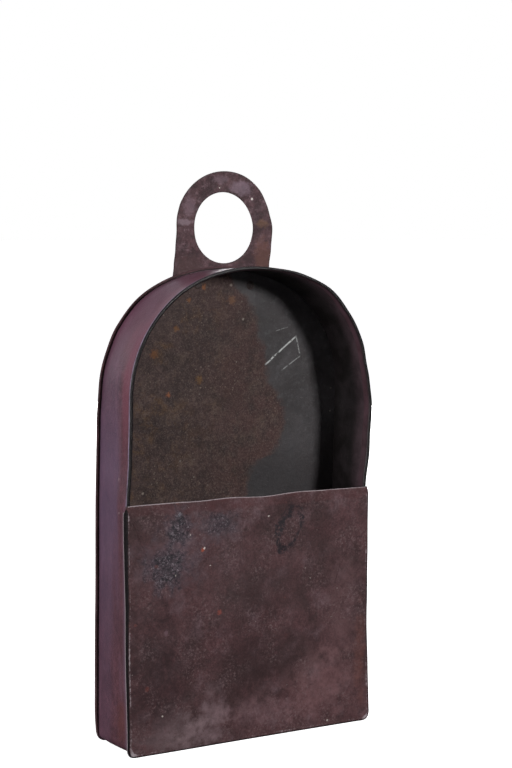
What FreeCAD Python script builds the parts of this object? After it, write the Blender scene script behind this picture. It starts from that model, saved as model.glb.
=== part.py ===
import FreeCAD, Part
import math
import os

import Sketcher
from FreeCAD import Placement, Rotation, Vector

# A wall lantern for one candle, folded from painted sheet iron: a shallow arched box with an open front,
# a panel that makes a deep pocket below, a hanging tab behind, and a socket on a drip pan at the bottom.
# Millimetres. +X is the viewer's right, -Y the open front, +Y the wall and +Z up.
# The origin is under the middle of the lantern, at the foot of its seams.

SIZES = {
    # the box
    "body_width": 200,        # across the outside of the side band
    "body_depth": 46,         # front panel's face to the back plate's rear face
    "spring_height": 255.3,   # foot of the seams up to where the sides begin to arch
    "shoulder_inset": 13,     # middle of the box out to the centre of each shoulder arc
    "crown_drop": 34.4,       # spring line down to the centre of the crown arc
    "corner_radius": 6,       # lower corners, on the outside of the band
    "sheet": 0.8,             # iron sheet of the back plate, band and panel
    # folded seams and hems
    "seam_out": 2.4,          # how far a folded seam stands out from the band
    "seam_gap": 0.2,          # between a fold and the edge that it holds
    "hem_depth": 7,           # width of the turned-in hems
    "hem_gap": 0.6,           # between a hem's end and what is beside it
    # front panel
    "panel_height": 181,      # foot of the seams up to the panel's top edge
    "corner_clip": 3,         # the panel's clipped top corners
    # hanging tab
    "tab_width": 82,
    "tab_thick": 1,
    "tab_lap": 27,            # how far the tab runs down behind the back plate
    "hang_radius": 26,        # round hole for the peg
    "hang_gap": 0.2,          # top of the arch's seam up to the hole
    # rivets
    "rivet_radius": 1.6,
    "rivet_head": 3.2,
    "rivet_crown": 1.8,       # the small end of each head
    "rivet_rise": 1.1,
    "rivet_fit": 0.05,        # radial room round a shank
    "rivet_flare": 0.8,       # how much wider a rivet is at the face where it is flush
    "hang_rivet_drop": 12,    # top of the arch down to the tab's rivets
    "hang_rivet_side": 22,    # middle out to each of them
    # the band's lapped ends
    "lap_side": 60,           # middle of the box out to the middle of the lap
    "lap_width": 14,
    "lap_rivet_pitch": 20,
    # drip pan and candle socket
    "tin": 0.6,
    "pan_floor_room": 1.9,    # flat floor of the pan left round the socket
    "pan_side_room": 2.7,     # from the pan's rim to the sheet in front and behind
    "pan_rise": 7,
    "socket_rise": 22,
    "candle_room": 0.5,       # radial room round the candle
    "candle_lift": 0.3,       # foot of the candle above the rivet's head
    # candle
    "candle_radius": 11,
    "candle_length": 118,
    "pool_edge": 1.6,         # wall of wax left round the melted hollow
    "pool_depth": 3,
    "wick_radius": 0.9,
    "wick_room": 0.05,
    "wick_out": 9,            # above the candle's top edge
}


class Size:
    """A length: its value now, and the expression that ties it to the sheet."""

    def __init__(self, value, text):
        self.value = float(value)
        self.text = text

    def __add__(self, other):
        return Size(self.value + number(other), f"({self.text} + {words(other)})")

    def __sub__(self, other):
        return Size(self.value - number(other), f"({self.text} - {words(other)})")

    def __mul__(self, other):
        return Size(self.value * number(other), f"({self.text} * {words(other)})")

    def __truediv__(self, other):
        return Size(self.value / number(other), f"({self.text} / {words(other)})")


def number(length):
    return length.value if isinstance(length, Size) else float(length)


def words(length):
    return length.text if isinstance(length, Size) else str(length)


def root(length):
    return Size(math.sqrt(length.value), f"sqrt({length.text})")


ZERO = Size(0, "0")

doc = FreeCAD.newDocument("lantern")
sheet = doc.addObject("Spreadsheet::Sheet", "Sizes")
for row, (alias, value) in enumerate(SIZES.items(), start=1):
    sheet.set(f"A{row}", alias)
    sheet.set(f"B{row}", str(value))
    sheet.setAlias(f"B{row}", alias)
doc.recompute()


def size(alias):
    """A length of the sheet."""
    return Size(SIZES[alias], f"Sizes.{alias}")


# Lengths that several pieces share, each worked out once from the sheet.
thick = size("sheet")
tin = size("tin")
half_width = size("body_width") / 2
depth = size("body_depth")
spring = size("spring_height")
inset = size("shoulder_inset")
drop = size("crown_drop")
seam = size("seam_out")
flange = seam - thick - size("seam_gap")
rear_face = (depth - size("tab_thick")) / 2
panel_top = spring - size("panel_height")
centre_reach = root(inset * inset + drop * drop)
arch_top = half_width - inset + centre_reach - drop
hang_centre = arch_top + seam + size("hang_gap") + size("hang_radius")
hole_radius = size("rivet_radius") + size("rivet_fit")
inside_middle = depth / 2
floor_top = seam + thick
socket_radius = size("candle_radius") + size("candle_room") + tin
pan_foot = socket_radius + size("pan_floor_room")
pan_rim = inside_middle - thick - size("pan_side_room")
candle_foot = floor_top + tin * 2 + size("rivet_rise") + size("candle_lift")

UPRIGHT = Rotation(Vector(1, 0, 0), 90)


# ---- sketches -------------------------------------------------------------------------------------

def line(sketch, start, end):
    return sketch.addGeometry(Part.LineSegment(Vector(*start, 0), Vector(*end, 0)), False)


def arc(sketch, centre, radius, first, last):
    circle = Part.Circle(Vector(*centre, 0), Vector(0, 0, 1), radius)
    bow = Part.ArcOfCircle(circle, math.radians(first), math.radians(last))
    return sketch.addGeometry(bow, False)


def rule(sketch, kind, *where):
    return sketch.addConstraint(Sketcher.Constraint(kind, *where))


def dimension(sketch, kind, where, length):
    """A dimension bound to the sheet."""
    index = rule(sketch, kind, *where, length.value)
    sketch.setExpression(f"Constraints[{index}]", length.text)


def join(sketch, run, smooth):
    """Joins each piece of a closed anticlockwise run to the next, tangent where smooth says so."""
    for place, (one, tangent) in enumerate(zip(run, smooth)):
        following = run[(place + 1) % len(run)]
        rule(sketch, "Tangent" if tangent else "Coincident", one, 2, following, 1)


def hold_sides(sketch, right, left, base, half, down):
    """Upright sides at half each way, and a level base at down below the sketch's origin."""
    rule(sketch, "Vertical", right)
    rule(sketch, "Vertical", left)
    rule(sketch, "Horizontal", base)
    dimension(sketch, "DistanceX", (-1, 1, right, 1), half)
    dimension(sketch, "DistanceX", (left, 1, -1, 1), half)
    dimension(sketch, "DistanceY", (base, 1, -1, 1), down)


def hold_corners(sketch, right, left, radius):
    rule(sketch, "Equal", right, left)
    dimension(sketch, "Radius", (right,), radius)


def arched(sketch, grow, foot=None):
    """The box's outline, grown by grow: straight sides under a three-centred arch.

    The sketch's origin is on the spring line. With foot the sides end square at that depth below it,
    and without it they run down to the rounded lower corners.
    """
    half = half_width + grow
    shoulder = half - inset
    crown = shoulder + centre_reach
    corner = size("corner_radius") + grow
    down = foot if foot else spring - seam + grow
    across, low = half.value, -down.value
    turn = math.degrees(math.atan2(drop.value, inset.value))
    round_foot = 0 if foot else corner.value
    base = line(sketch, (round_foot - across, low), (across - round_foot, low))
    right = line(sketch, (across, low + round_foot), (across, 0))
    right_bow = arc(sketch, (inset.value, 0), shoulder.value, 0, turn)
    top_bow = arc(sketch, (0, -drop.value), crown.value, turn, 180 - turn)
    left_bow = arc(sketch, (-inset.value, 0), shoulder.value, 180 - turn, 180)
    left = line(sketch, (-across, 0), (-across, low + round_foot))
    if foot:
        join(sketch, [base, right, right_bow, top_bow, left_bow, left], [0, 1, 1, 1, 1, 0])
    else:
        right_foot = arc(sketch, (across - round_foot, low + round_foot), round_foot, 270, 360)
        left_foot = arc(sketch, (round_foot - across, low + round_foot), round_foot, 180, 270)
        run = [base, right_foot, right, right_bow, top_bow, left_bow, left, left_foot]
        join(sketch, run, [1] * len(run))
        hold_corners(sketch, right_foot, left_foot, corner)
    hold_sides(sketch, right, left, base, half, down)
    hold_corners(sketch, right_bow, left_bow, shoulder)
    rule(sketch, "PointOnObject", right_bow, 3, -1)
    rule(sketch, "PointOnObject", left_bow, 3, -1)
    dimension(sketch, "Radius", (top_bow,), crown)


def pocket_front(sketch, grow, top, clip=None):
    """The pocket's outline, grown by grow: level top, rounded lower corners, top corners clipped by clip.

    top is how far the level top lies below the spring line.
    """
    half = half_width + grow
    corner = size("corner_radius") + grow
    down = spring - seam + grow
    across, low, high = half.value, -down.value, -top.value
    bend, cut = corner.value, number(clip or ZERO)
    base = line(sketch, (bend - across, low), (across - bend, low))
    right_foot = arc(sketch, (across - bend, low + bend), bend, 270, 360)
    right = line(sketch, (across, low + bend), (across, high - cut))
    level = line(sketch, (across - cut, high), (cut - across, high))
    left = line(sketch, (-across, high - cut), (-across, low + bend))
    left_foot = arc(sketch, (bend - across, low + bend), bend, 180, 270)
    if clip:
        right_clip = line(sketch, (across, high - cut), (across - cut, high))
        left_clip = line(sketch, (cut - across, high), (-across, high - cut))
        run = [base, right_foot, right, right_clip, level, left_clip, left, left_foot]
        join(sketch, run, [1, 1, 0, 0, 0, 0, 1, 1])
        for one in (right_clip, left_clip):
            low_end, high_end = (1, 2) if one == right_clip else (2, 1)
            dimension(sketch, "DistanceY", (one, low_end, one, high_end), clip)
            dimension(sketch, "DistanceX", (one, 2, one, 1), clip)
    else:
        join(sketch, [base, right_foot, right, level, left, left_foot], [1, 1, 0, 0, 1, 1])
    hold_sides(sketch, right, left, base, half, down)
    hold_corners(sketch, right_foot, left_foot, corner)
    rule(sketch, "Horizontal", level)
    dimension(sketch, "DistanceY", (level, 1, -1, 1), top)


def tab_outline(sketch):
    """The hanging tab: straight sides, a half-round top and the round hole."""
    half = size("tab_width") / 2
    foot = arch_top - size("tab_lap")
    across, low, middle = half.value, foot.value, hang_centre.value
    base = line(sketch, (-across, low), (across, low))
    right = line(sketch, (across, low), (across, middle))
    bow = arc(sketch, (0, middle), across, 0, 180)
    left = line(sketch, (-across, middle), (-across, low))
    join(sketch, [base, right, bow, left], [0, 1, 1, 0])
    rule(sketch, "Horizontal", base)
    rule(sketch, "Vertical", right)
    rule(sketch, "Vertical", left)
    dimension(sketch, "DistanceX", (-1, 1, right, 1), half)
    dimension(sketch, "DistanceX", (left, 1, -1, 1), half)
    dimension(sketch, "DistanceY", (-1, 1, base, 1), foot)
    dimension(sketch, "DistanceY", (-1, 1, bow, 3), hang_centre)
    circle(sketch, ZERO, hang_centre, size("hang_radius"))


def rectangle(sketch, left, right, low, high):
    """A rectangle between two distances each way from the sketch's origin; all four may be negative."""
    west, east, south, north = (length.value for length in (left, right, low, high))
    base = line(sketch, (west, south), (east, south))
    right_side = line(sketch, (east, south), (east, north))
    top = line(sketch, (east, north), (west, north))
    left_side = line(sketch, (west, north), (west, south))
    join(sketch, [base, right_side, top, left_side], [0, 0, 0, 0])
    for level in (base, top):
        rule(sketch, "Horizontal", level)
    for upright in (right_side, left_side):
        rule(sketch, "Vertical", upright)
    dimension(sketch, "DistanceX", (-1, 1, base, 1), left)
    dimension(sketch, "DistanceX", (base, 1, base, 2), right - left)
    dimension(sketch, "DistanceY", (-1, 1, base, 1), low)
    dimension(sketch, "DistanceY", (right_side, 1, right_side, 2), high - low)


def circle(sketch, across, up, radius):
    """A circle at a distance each way from the sketch's origin; a distance of nought sits on the axis."""
    centre = Vector(across.value, up.value, 0)
    ring = sketch.addGeometry(Part.Circle(centre, Vector(0, 0, 1), radius.value), False)
    dimension(sketch, "Radius", (ring,), radius)
    if across is ZERO:
        rule(sketch, "PointOnObject", ring, 3, -2)
    else:
        dimension(sketch, "DistanceX", (-1, 1, ring, 3), across)
    dimension(sketch, "DistanceY", (-1, 1, ring, 3), up)


def turned_cup(sketch, foot, rim, rise, wall, hole):
    """Half the section of a round cup: a flat floor with a hole, and a wall that may flare."""
    lean = (rim - foot) * wall / rise
    inner = foot - wall + lean
    points = [(hole, ZERO), (foot, ZERO), (rim, rise), (rim - wall, rise), (inner, wall), (hole, wall)]
    spots = [(across.value, up.value) for across, up in points]
    run = [line(sketch, spots[i], spots[(i + 1) % len(spots)]) for i in range(len(spots))]
    join(sketch, run, [0] * len(run))
    for level in (0, 2, 4):
        rule(sketch, "Horizontal", run[level])
    rule(sketch, "Vertical", run[5])
    rule(sketch, "PointOnObject", run[0], 1, -1)
    for place in range(5):
        dimension(sketch, "DistanceX", (-1, 1, run[place], 1), points[place][0])
    dimension(sketch, "DistanceY", (-1, 1, run[2], 1), rise)
    dimension(sketch, "DistanceY", (-1, 1, run[4], 1), wall)


# ---- bodies and features --------------------------------------------------------------------------

def new_body(name, rise=None, back=None):
    """A body whose own plane XY stands upright: its +Z runs to the front, its origin at back and rise."""
    body = doc.addObject("PartDesign::Body", name)
    body.Label = name
    if rise:
        body.Placement = Placement(Vector(0, 0, 0), UPRIGHT)
        body.setExpression("Placement.Base.y", back.text)
        body.setExpression("Placement.Base.z", rise.text)
    return body


def new_sketch(body, name, role="XY_Plane", lift=ZERO):
    sketch = body.newObject("Sketcher::SketchObject", name)
    plane = next(one for one in body.Origin.OriginFeatures if one.Role == role)
    sketch.AttachmentSupport = [(plane, "")]
    sketch.MapMode = "FlatFace"
    sketch.setExpression("AttachmentOffset.Base.z", lift.text)
    return sketch


def feature(body, kind, name, sketch, length):
    one = body.newObject(f"PartDesign::{kind}", name)
    one.Profile = (sketch, [""])
    one.setExpression("Length", length.text)
    sketch.Visibility = False
    doc.recompute()
    return one


def pad(body, name, outline, start, length, *shape, **more):
    """Adds a layer of the given outline, from start towards the front."""
    sketch = new_sketch(body, f"{name}_outline", lift=start)
    outline(sketch, *shape, **more)
    return feature(body, "Pad", name, sketch, length)


def cut(body, name, outline, start, length, *shape, role="XY_Plane", **more):
    """Cuts the given outline, from start back against the sketch's normal, and makes sure it cut."""
    before = body.Tip.Shape.Volume
    sketch = new_sketch(body, f"{name}_outline", role=role, lift=start)
    outline(sketch, *shape, **more)
    pocket = feature(body, "Pocket", name, sketch, length)
    if not pocket.Shape.Volume < before:
        raise RuntimeError(f"{name} cut nothing")
    return pocket


def rivet_holes(sketch, spots, radius):
    for across, up in spots:
        circle(sketch, across, up, radius)


def turned(name, level, **section):
    """A round cup turned about the lantern's upright axis through the socket."""
    body = new_body(name)
    sketch = new_sketch(body, f"{name}_section", role="XZ_Plane")
    turned_cup(sketch, **section)
    turn = body.newObject("PartDesign::Revolution", f"{name}_turn")
    turn.Profile = (sketch, [""])
    turn.ReferenceAxis = (sketch, ["V_Axis"])
    turn.Angle = 360
    sketch.Visibility = False
    body.setExpression("Placement.Base.y", (rear_face - inside_middle).text)
    body.setExpression("Placement.Base.z", level.text)
    doc.recompute()
    return body


hang_level = arch_top - size("hang_rivet_drop")
hang_side = size("hang_rivet_side")
hang_spots = [(hang_side * side, hang_level) for side in (-1, 1)]
lap_depths = [inside_middle + size("lap_rivet_pitch") * step / 2 for step in (-1, 1)]
floor_spots = [(size("lap_side"), level) for level in lap_depths] + [(ZERO, inside_middle)]


def back_plate():
    """An arched sheet whose edge is folded forward round the band's rear flange."""
    body = new_body("back_plate", spring, rear_face)
    pad(body, "back_block", arched, ZERO, thick * 3, seam)
    cut(body, "back_inside", arched, thick * 3, thick * 2, size("seam_gap"))
    cut(body, "back_groove", arched, thick * 2, thick, seam - thick)
    cut(body, "back_rivet_holes", rivet_holes, thick, thick, hang_spots, hole_radius)
    return body


def side_band():
    """One strip round the sides, arch and floor: flanged out where it is seamed, hemmed in round the arch."""
    body = new_body("side_band", spring, rear_face)
    front = depth - thick
    hem_foot = panel_top - size("hem_gap")
    pad(body, "band_block", arched, thick, depth - thick * 2, ZERO)
    pad(body, "rear_flange", arched, thick, thick, flange)
    pad(body, "front_flange", pocket_front, front - thick, thick, flange, panel_top + size("hem_gap"))
    cut(body, "band_inside", arched, front, depth - thick * 2, thick * -1)
    pad(body, "rim_hem", arched, front - size("hem_depth"), size("hem_depth"), thick / -2, foot=hem_foot)
    cut(body, "rim_inside", arched, front, size("hem_depth"), thick * -2, foot=hem_foot + thick)
    low = (spring - floor_top) * -1
    lap_left = size("lap_side") - size("lap_width") / 2
    lap = (lap_left, lap_left + size("lap_width"), low - thick / 2, low + thick)
    pad(body, "floor_lap", rectangle, thick * 3, depth - thick * 6, *lap)
    cut(body, "floor_rivet_holes", rivet_holes, spring, floor_top + thick * 2, floor_spots, hole_radius,
        role="XZ_Plane")
    return body


def front_panel():
    """A sheet folded back round the band's front flange on three sides, with a hem behind its top edge."""
    body = new_body("front_panel", spring, rear_face)
    above = panel_top - size("hem_depth")
    pad(body, "panel_block", pocket_front, depth - thick * 3, thick * 3, seam, panel_top,
        clip=size("corner_clip"))
    cut(body, "panel_inside", pocket_front, depth - thick, thick * 2, size("seam_gap"), above)
    cut(body, "panel_groove", pocket_front, depth - thick, thick, seam - thick, above)
    side = half_width - thick - size("hem_gap")
    hem = (side * -1, side, (panel_top + size("hem_depth")) * -1, panel_top * -1)
    pad(body, "panel_hem", rectangle, depth - thick * 2, thick * 1.5, *hem)
    return body


def hanger_tab():
    """A flat plate behind the back plate, with the hole for the peg and two countersunk rivet holes."""
    body = new_body("hanger_tab", spring, rear_face)
    tab = size("tab_thick")
    pad(body, "tab_plate", tab_outline, tab * -1, tab)
    cut(body, "tab_rivet_holes", rivet_holes, ZERO, tab, hang_spots, hole_radius)
    for side, spot in zip(("left", "right"), hang_spots):
        sink = body.newObject("PartDesign::SubtractiveCone", f"countersink_{side}")
        sink.setExpression("Radius1", (hole_radius + size("rivet_flare")).text)
        sink.setExpression("Radius2", hole_radius.text)
        sink.setExpression("Height", tab.text)
        for axis, length in zip("xyz", (*spot, tab * -1)):
            sink.setExpression(f"Placement.Base.{axis}", length.text)
        doc.recompute()
    return body


# ---- rivets and the candle ------------------------------------------------------------------------

def stack(name, layers):
    """Round layers, one on another along Z: each is (lower radius, upper radius, height)."""
    pieces, level = [], ZERO
    for index, (lower, upper, height) in enumerate(layers):
        straight = lower is upper
        kind = "Cylinder" if straight else "Cone"
        one = doc.addObject(f"Part::{kind}", f"{name}_{index}")
        if straight:
            one.setExpression("Radius", lower.text)
        else:
            one.setExpression("Radius1", lower.text)
            one.setExpression("Radius2", upper.text)
        one.setExpression("Height", height.text)
        one.setExpression("Placement.Base.z", level.text)
        one.Visibility = False
        pieces.append(one)
        level = level + height
    whole = doc.addObject("Part::MultiFuse", name)
    whole.Shapes = pieces
    return whole


def place(piece, across, back, rise, turn=None):
    if turn:
        piece.Placement = Placement(Vector(0, 0, 0), turn)
    for axis, length in zip("xyz", (across, back, rise)):
        piece.setExpression(f"Placement.Base.{axis}", length.text)
    return piece


def group(name, pieces):
    whole = doc.addObject("Part::Compound", name)
    whole.Label = name
    whole.Links = pieces
    return whole


shank = size("rivet_radius")
head = size("rivet_head")
crown_end = size("rivet_crown")
rivet_rise = size("rivet_rise")


def hanger_rivets():
    """Each is flush with the tab's rear face and has a low head inside the box."""
    layers = [
        (shank + size("rivet_flare"), shank, size("tab_thick")),
        (shank, shank, thick),
        (head, crown_end, rivet_rise),
    ]
    rivets = []
    for side, (across, up) in zip(("left", "right"), hang_spots):
        rivet = stack(f"hanger_rivet_{side}", layers)
        rivets.append(place(rivet, across, rear_face + size("tab_thick"), spring + up, UPRIGHT))
    return group("hanger_rivets", rivets)


def floor_rivet_layers(grip):
    """A rivet that stands in the floor, headed above and below, with grip between its heads."""
    return [(crown_end, head, rivet_rise), (shank, shank, grip), (head, crown_end, rivet_rise)]


def lap_rivets():
    """They close the band's lapped ends."""
    rivets = []
    for side, level in zip(("rear", "front"), lap_depths):
        rivet = stack(f"lap_rivet_{side}", floor_rivet_layers(thick * 2))
        rivets.append(place(rivet, size("lap_side"), rear_face - level, seam - rivet_rise))
    return group("lap_rivets", rivets)


def socket_rivet():
    """It holds the socket and the drip pan down on the floor."""
    rivet = stack("socket_rivet", floor_rivet_layers(thick + tin * 2))
    rivet.Label = "socket_rivet"
    return place(rivet, ZERO, rear_face - inside_middle, seam - rivet_rise)


def candle():
    """A part-burned candle: a dished top, and a bore that the wick fills."""
    radius, length = size("candle_radius"), size("candle_length")
    pool, edge = size("pool_depth"), radius - size("pool_edge")
    ball = (edge * edge + pool * pool) / (pool * 2)
    wax = doc.addObject("Part::Cylinder", "wax")
    wax.setExpression("Radius", radius.text)
    wax.setExpression("Height", length.text)
    hollow = doc.addObject("Part::Sphere", "melted_hollow")
    hollow.setExpression("Radius", ball.text)
    hollow.setExpression("Placement.Base.z", (length + ball - pool).text)
    bore = doc.addObject("Part::Cylinder", "wick_bore")
    bore.setExpression("Radius", (size("wick_radius") + size("wick_room")).text)
    bore.setExpression("Height", length.text)
    tools = doc.addObject("Part::MultiFuse", "candle_hollows")
    tools.Shapes = [hollow, bore]
    whole = doc.addObject("Part::Cut", "candle")
    whole.Label = "candle"
    whole.Base = wax
    whole.Tool = tools
    return place(whole, ZERO, rear_face - inside_middle, candle_foot)


def wick():
    whole = doc.addObject("Part::Cylinder", "wick")
    whole.Label = "wick"
    whole.setExpression("Radius", size("wick_radius").text)
    whole.setExpression("Height", (size("candle_length") + size("wick_out")).text)
    return place(whole, ZERO, rear_face - inside_middle, candle_foot)


def drip_pan():
    return turned("drip_pan", floor_top, foot=pan_foot, rim=pan_rim, rise=size("pan_rise"), wall=tin,
                  hole=hole_radius)


def candle_socket():
    return turned("candle_socket", floor_top + tin, foot=socket_radius, rim=socket_radius,
                  rise=size("socket_rise"), wall=tin, hole=hole_radius)


NODES = [back_plate(), side_band(), front_panel(), hanger_tab(), hanger_rivets(), lap_rivets(),
         drip_pan(), candle_socket(), socket_rivet(), candle(), wick()]
doc.recompute()

for item in doc.Objects:
    if "Invalid" in item.State or "Error" in item.State:
        raise RuntimeError(f"{item.Label} failed: {item.State}")
for node in NODES:
    if node.Shape.isNull() or not node.Shape.isValid():
        raise RuntimeError(f"{node.Label} has no valid shape")

os.makedirs("parts", exist_ok=True)
for node in NODES:
    node.Shape.exportStep(os.path.join("parts", f"{node.Label}.step"))
    reach = node.Shape.BoundBox
    print(f"{node.Label}: {len(node.Shape.Solids)} solid(s), {node.Shape.Volume:.0f} mm3, "
          f"x {reach.XMin:.1f}..{reach.XMax:.1f}, y {reach.YMin:.1f}..{reach.YMax:.1f}, "
          f"z {reach.ZMin:.1f}..{reach.ZMax:.1f}")
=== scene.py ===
# %% [markdown]
# # A wall lantern for one candle, folded from painted sheet iron
# The lantern is a shallow arched box with an open front. A low panel makes a pocket at the bottom, a ringed
# tab behind the arch hangs it on a peg, and inside the pocket a socket on a drip pan holds a candle stub.
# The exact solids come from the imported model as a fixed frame. Here every one of them gets a finer skin:
# real sheet with folds and hems, dents from years of use, and paint that is worn, rusty and dusty.

# %% The fixed frame
import math

import bmesh
import bpy
import numpy as np
from mathutils import Matrix, Vector


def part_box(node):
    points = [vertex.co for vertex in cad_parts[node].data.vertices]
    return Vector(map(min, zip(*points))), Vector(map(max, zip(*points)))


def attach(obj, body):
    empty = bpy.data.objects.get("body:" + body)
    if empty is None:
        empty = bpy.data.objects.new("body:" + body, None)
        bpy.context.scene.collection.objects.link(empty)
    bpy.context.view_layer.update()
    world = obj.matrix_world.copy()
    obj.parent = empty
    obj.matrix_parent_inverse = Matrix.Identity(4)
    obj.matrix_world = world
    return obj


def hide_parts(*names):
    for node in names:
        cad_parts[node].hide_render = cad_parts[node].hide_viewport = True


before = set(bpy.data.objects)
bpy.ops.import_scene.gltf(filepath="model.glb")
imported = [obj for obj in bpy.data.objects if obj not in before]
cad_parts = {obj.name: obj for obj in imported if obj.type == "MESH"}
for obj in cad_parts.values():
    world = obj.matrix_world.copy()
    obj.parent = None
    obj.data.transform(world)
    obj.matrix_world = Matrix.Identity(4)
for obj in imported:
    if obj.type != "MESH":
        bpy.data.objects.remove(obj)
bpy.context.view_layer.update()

MM = 0.001
print("nodes:", ", ".join(sorted(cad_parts)))

# %% [markdown]
# ## Sizes
# Everything is laid out in millimetres, as on a tinsmith's pattern, and turned into metres when a mesh is
# made. Outer sizes are read from the frame's boxes, so that a changed model carries over. The few numbers
# that a box can't tell, such as the three arcs of the arch, are named here once.

# %% Sizes off the frame
def box_mm(node):
    """Lowest and highest corner of a frame node, in millimetres."""
    low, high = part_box(node)
    return np.array(low) / MM, np.array(high) / MM


SHEET = 0.8               # iron sheet of the box
SEAM_OUT = 2.4            # how far the folded seams stand out from the side band
SHOULDER_INSET = 13       # middle of the box to the centres of the shoulder arcs
CROWN_DROP = 34.4         # spring line down to the centre of the crown's arc
SPRING = 255.3            # where the straight sides end
CORNER = 6                # radius of the band's lower corners

back_high = box_mm("back_plate")[1]
panel_low, panel_high = box_mm("front_panel")
tab_low, tab_high = box_mm("hanger_tab")
HALF = back_high[0] - SEAM_OUT
REAR = back_high[1]
FRONT = panel_low[1]
PANEL_TOP = panel_high[2]
BAND_FRONT = FRONT + SHEET
FLOOR = SEAM_OUT + SHEET
print(f"box {2 * HALF:.1f} wide, {REAR - FRONT:.1f} deep, panel {PANEL_TOP:.1f} high")

# %% [markdown]
# ## Camera
# A long lens from the left and a little above, so that the left side of the band shows its full height.
# A camera looks along its own -Z: turned 90 degrees about X it looks level to the back, and the other
# three turns are the pitch down, the yaw to the side and a slight roll of the horizon.

# %% Camera
CAMERA_PLACE = Vector((-648.4, -1099.2, 397.2)) * MM
CAMERA_YAW, CAMERA_PITCH, CAMERA_ROLL = 31.13, 6.12, 1.0
CAMERA_LENS = 82.53

camera = bpy.data.objects.new("camera", bpy.data.cameras.new("camera"))
camera.data.lens = CAMERA_LENS
camera.data.clip_start, camera.data.clip_end = 0.05, 60
camera.matrix_world = (
    Matrix.Translation(CAMERA_PLACE)
    @ Matrix.Rotation(math.radians(-CAMERA_YAW), 4, "Z")
    @ Matrix.Rotation(math.radians(90 - CAMERA_PITCH), 4, "X")
    @ Matrix.Rotation(math.radians(CAMERA_ROLL), 4, "Z")
)
bpy.context.scene.collection.objects.link(camera)
bpy.context.scene.camera = camera
bpy.context.scene.view_settings.view_transform = "Standard"
print("camera at", [round(v, 3) for v in camera.location])

# %% [markdown]
# ## Building node trees
# Every finish below is a tree of nodes. Small helpers keep those trees readable: put adds a node and fills
# or links its inputs in the same line, new_group opens a group with named inputs and outputs, use places
# it, and the others are the sums, steps, blends and clouds that come back in every finish.

# %% Helpers for node trees
def put(tree, kind, inputs=None, **settings):
    """Adds a node, sets its properties, then fills or links its inputs, named or numbered."""
    node = tree.nodes.new(kind)
    for name, value in settings.items():
        setattr(node, name, value)
    for name, value in (inputs or {}).items():
        if isinstance(value, bpy.types.NodeSocket):
            tree.links.new(value, node.inputs[name])
        else:
            node.inputs[name].default_value = value
    return node


def new_group(name, inputs, outputs, kind="ShaderNodeTree"):
    """An empty node group with named sockets: returns the tree, its input node and its output node."""
    tree = bpy.data.node_groups.new(name, kind)
    for side, sockets in (("INPUT", inputs), ("OUTPUT", outputs)):
        for label, (shape, value) in sockets.items():
            socket = tree.interface.new_socket(label, in_out=side, socket_type=f"NodeSocket{shape}")
            if value is not None:
                socket.default_value = value
    return tree, tree.nodes.new("NodeGroupInput"), tree.nodes.new("NodeGroupOutput")


def use(tree, group, **inputs):
    """Places a shader group in a tree; underscores in input names stand for spaces."""
    node = tree.nodes.new("ShaderNodeGroup")
    node.node_tree = group
    for name, value in inputs.items():
        socket = node.inputs[name.replace("_", " ")]
        if isinstance(value, bpy.types.NodeSocket):
            tree.links.new(value, socket)
        else:
            socket.default_value = value
    return node


def calc(tree, operation, *values):
    """One Math node; returns its result."""
    return put(tree, "ShaderNodeMath", dict(enumerate(values)), operation=operation).outputs[0]


def times(tree, first, second):
    """The product of two values."""
    return calc(tree, "MULTIPLY", first, second)


def step(tree, value, low, high, start=0.0, end=1.0):
    """Rises smoothly from start to end while value goes from low to high."""
    spans = {0: value, 1: low, 2: high, 3: start, 4: end}
    return put(tree, "ShaderNodeMapRange", spans, interpolation_type="SMOOTHSTEP").outputs[0]


def blend(tree, share, under, over):
    """Lays colour over on colour under, by share."""
    sockets = {0: share, 6: under, 7: over}
    return put(tree, "ShaderNodeMix", sockets, data_type="RGBA").outputs[2]


def cloud(tree, vector, scale, detail=4.0, rough=0.55, warp=0.0):
    """Noise from 0 to 1; scale is in lumps per metre."""
    sockets = {"Vector": vector, "Scale": scale, "Detail": detail, "Roughness": rough, "Distortion": warp}
    return put(tree, "ShaderNodeTexNoise", sockets).outputs["Fac"]


def sway(tree, *cloud_values):
    """The same noise, from -0.5 to 0.5, for pushing a border to and fro."""
    return calc(tree, "SUBTRACT", cloud(tree, *cloud_values), 0.5)


COLOUR, NUMBER, PLACE = ("Color", (0.5, 0.5, 0.5, 1)), ("Float", 0.0), ("Vector", None)
print("node helpers ready")

# %% [markdown]
# ## Old paint
# Brushed oil paint on iron never has one colour: it fades in clouds a few centimetres wide, and grime
# settles in its pores. The group mixes three colours by clouds of two sizes, and gives a height for the
# bump and a roughness that follows the same clouds, so gloss and colour change together.

# %% Shader group: old paint
old_paint, given, made = new_group(
    "old paint",
    {"Vector": PLACE, "Paint": COLOUR, "Faded": COLOUR, "Dark": COLOUR, "Cloud Scale": ("Float", 30.0),
     "Grain Scale": ("Float", 700.0), "Mottle": ("Float", 0.3), "Mottle Scale": ("Float", 170.0),
     "Gloss Change": ("Float", 0.12), "Roughness": ("Float", 0.45)},
    {"Color": COLOUR, "Roughness": NUMBER, "Height": NUMBER},
)
where = given.outputs["Vector"]
wide = cloud(old_paint, where, given.outputs["Cloud Scale"], 5.0, 0.6, 0.3)
shifted = put(old_paint, "ShaderNodeVectorMath", {0: where, 1: (0.37, 0.11, 0.53)},
              operation="ADD").outputs[0]
other = cloud(old_paint, shifted, times(old_paint, given.outputs["Cloud Scale"], 2.3), 6.0, 0.65)
grain = cloud(old_paint, where, given.outputs["Grain Scale"], 3.0, 0.6)
colour = blend(old_paint, step(old_paint, wide, 0.38, 0.62), given.outputs["Dark"], given.outputs["Paint"])
colour = blend(old_paint, step(old_paint, other, 0.48, 0.78), colour, given.outputs["Faded"])
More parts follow.
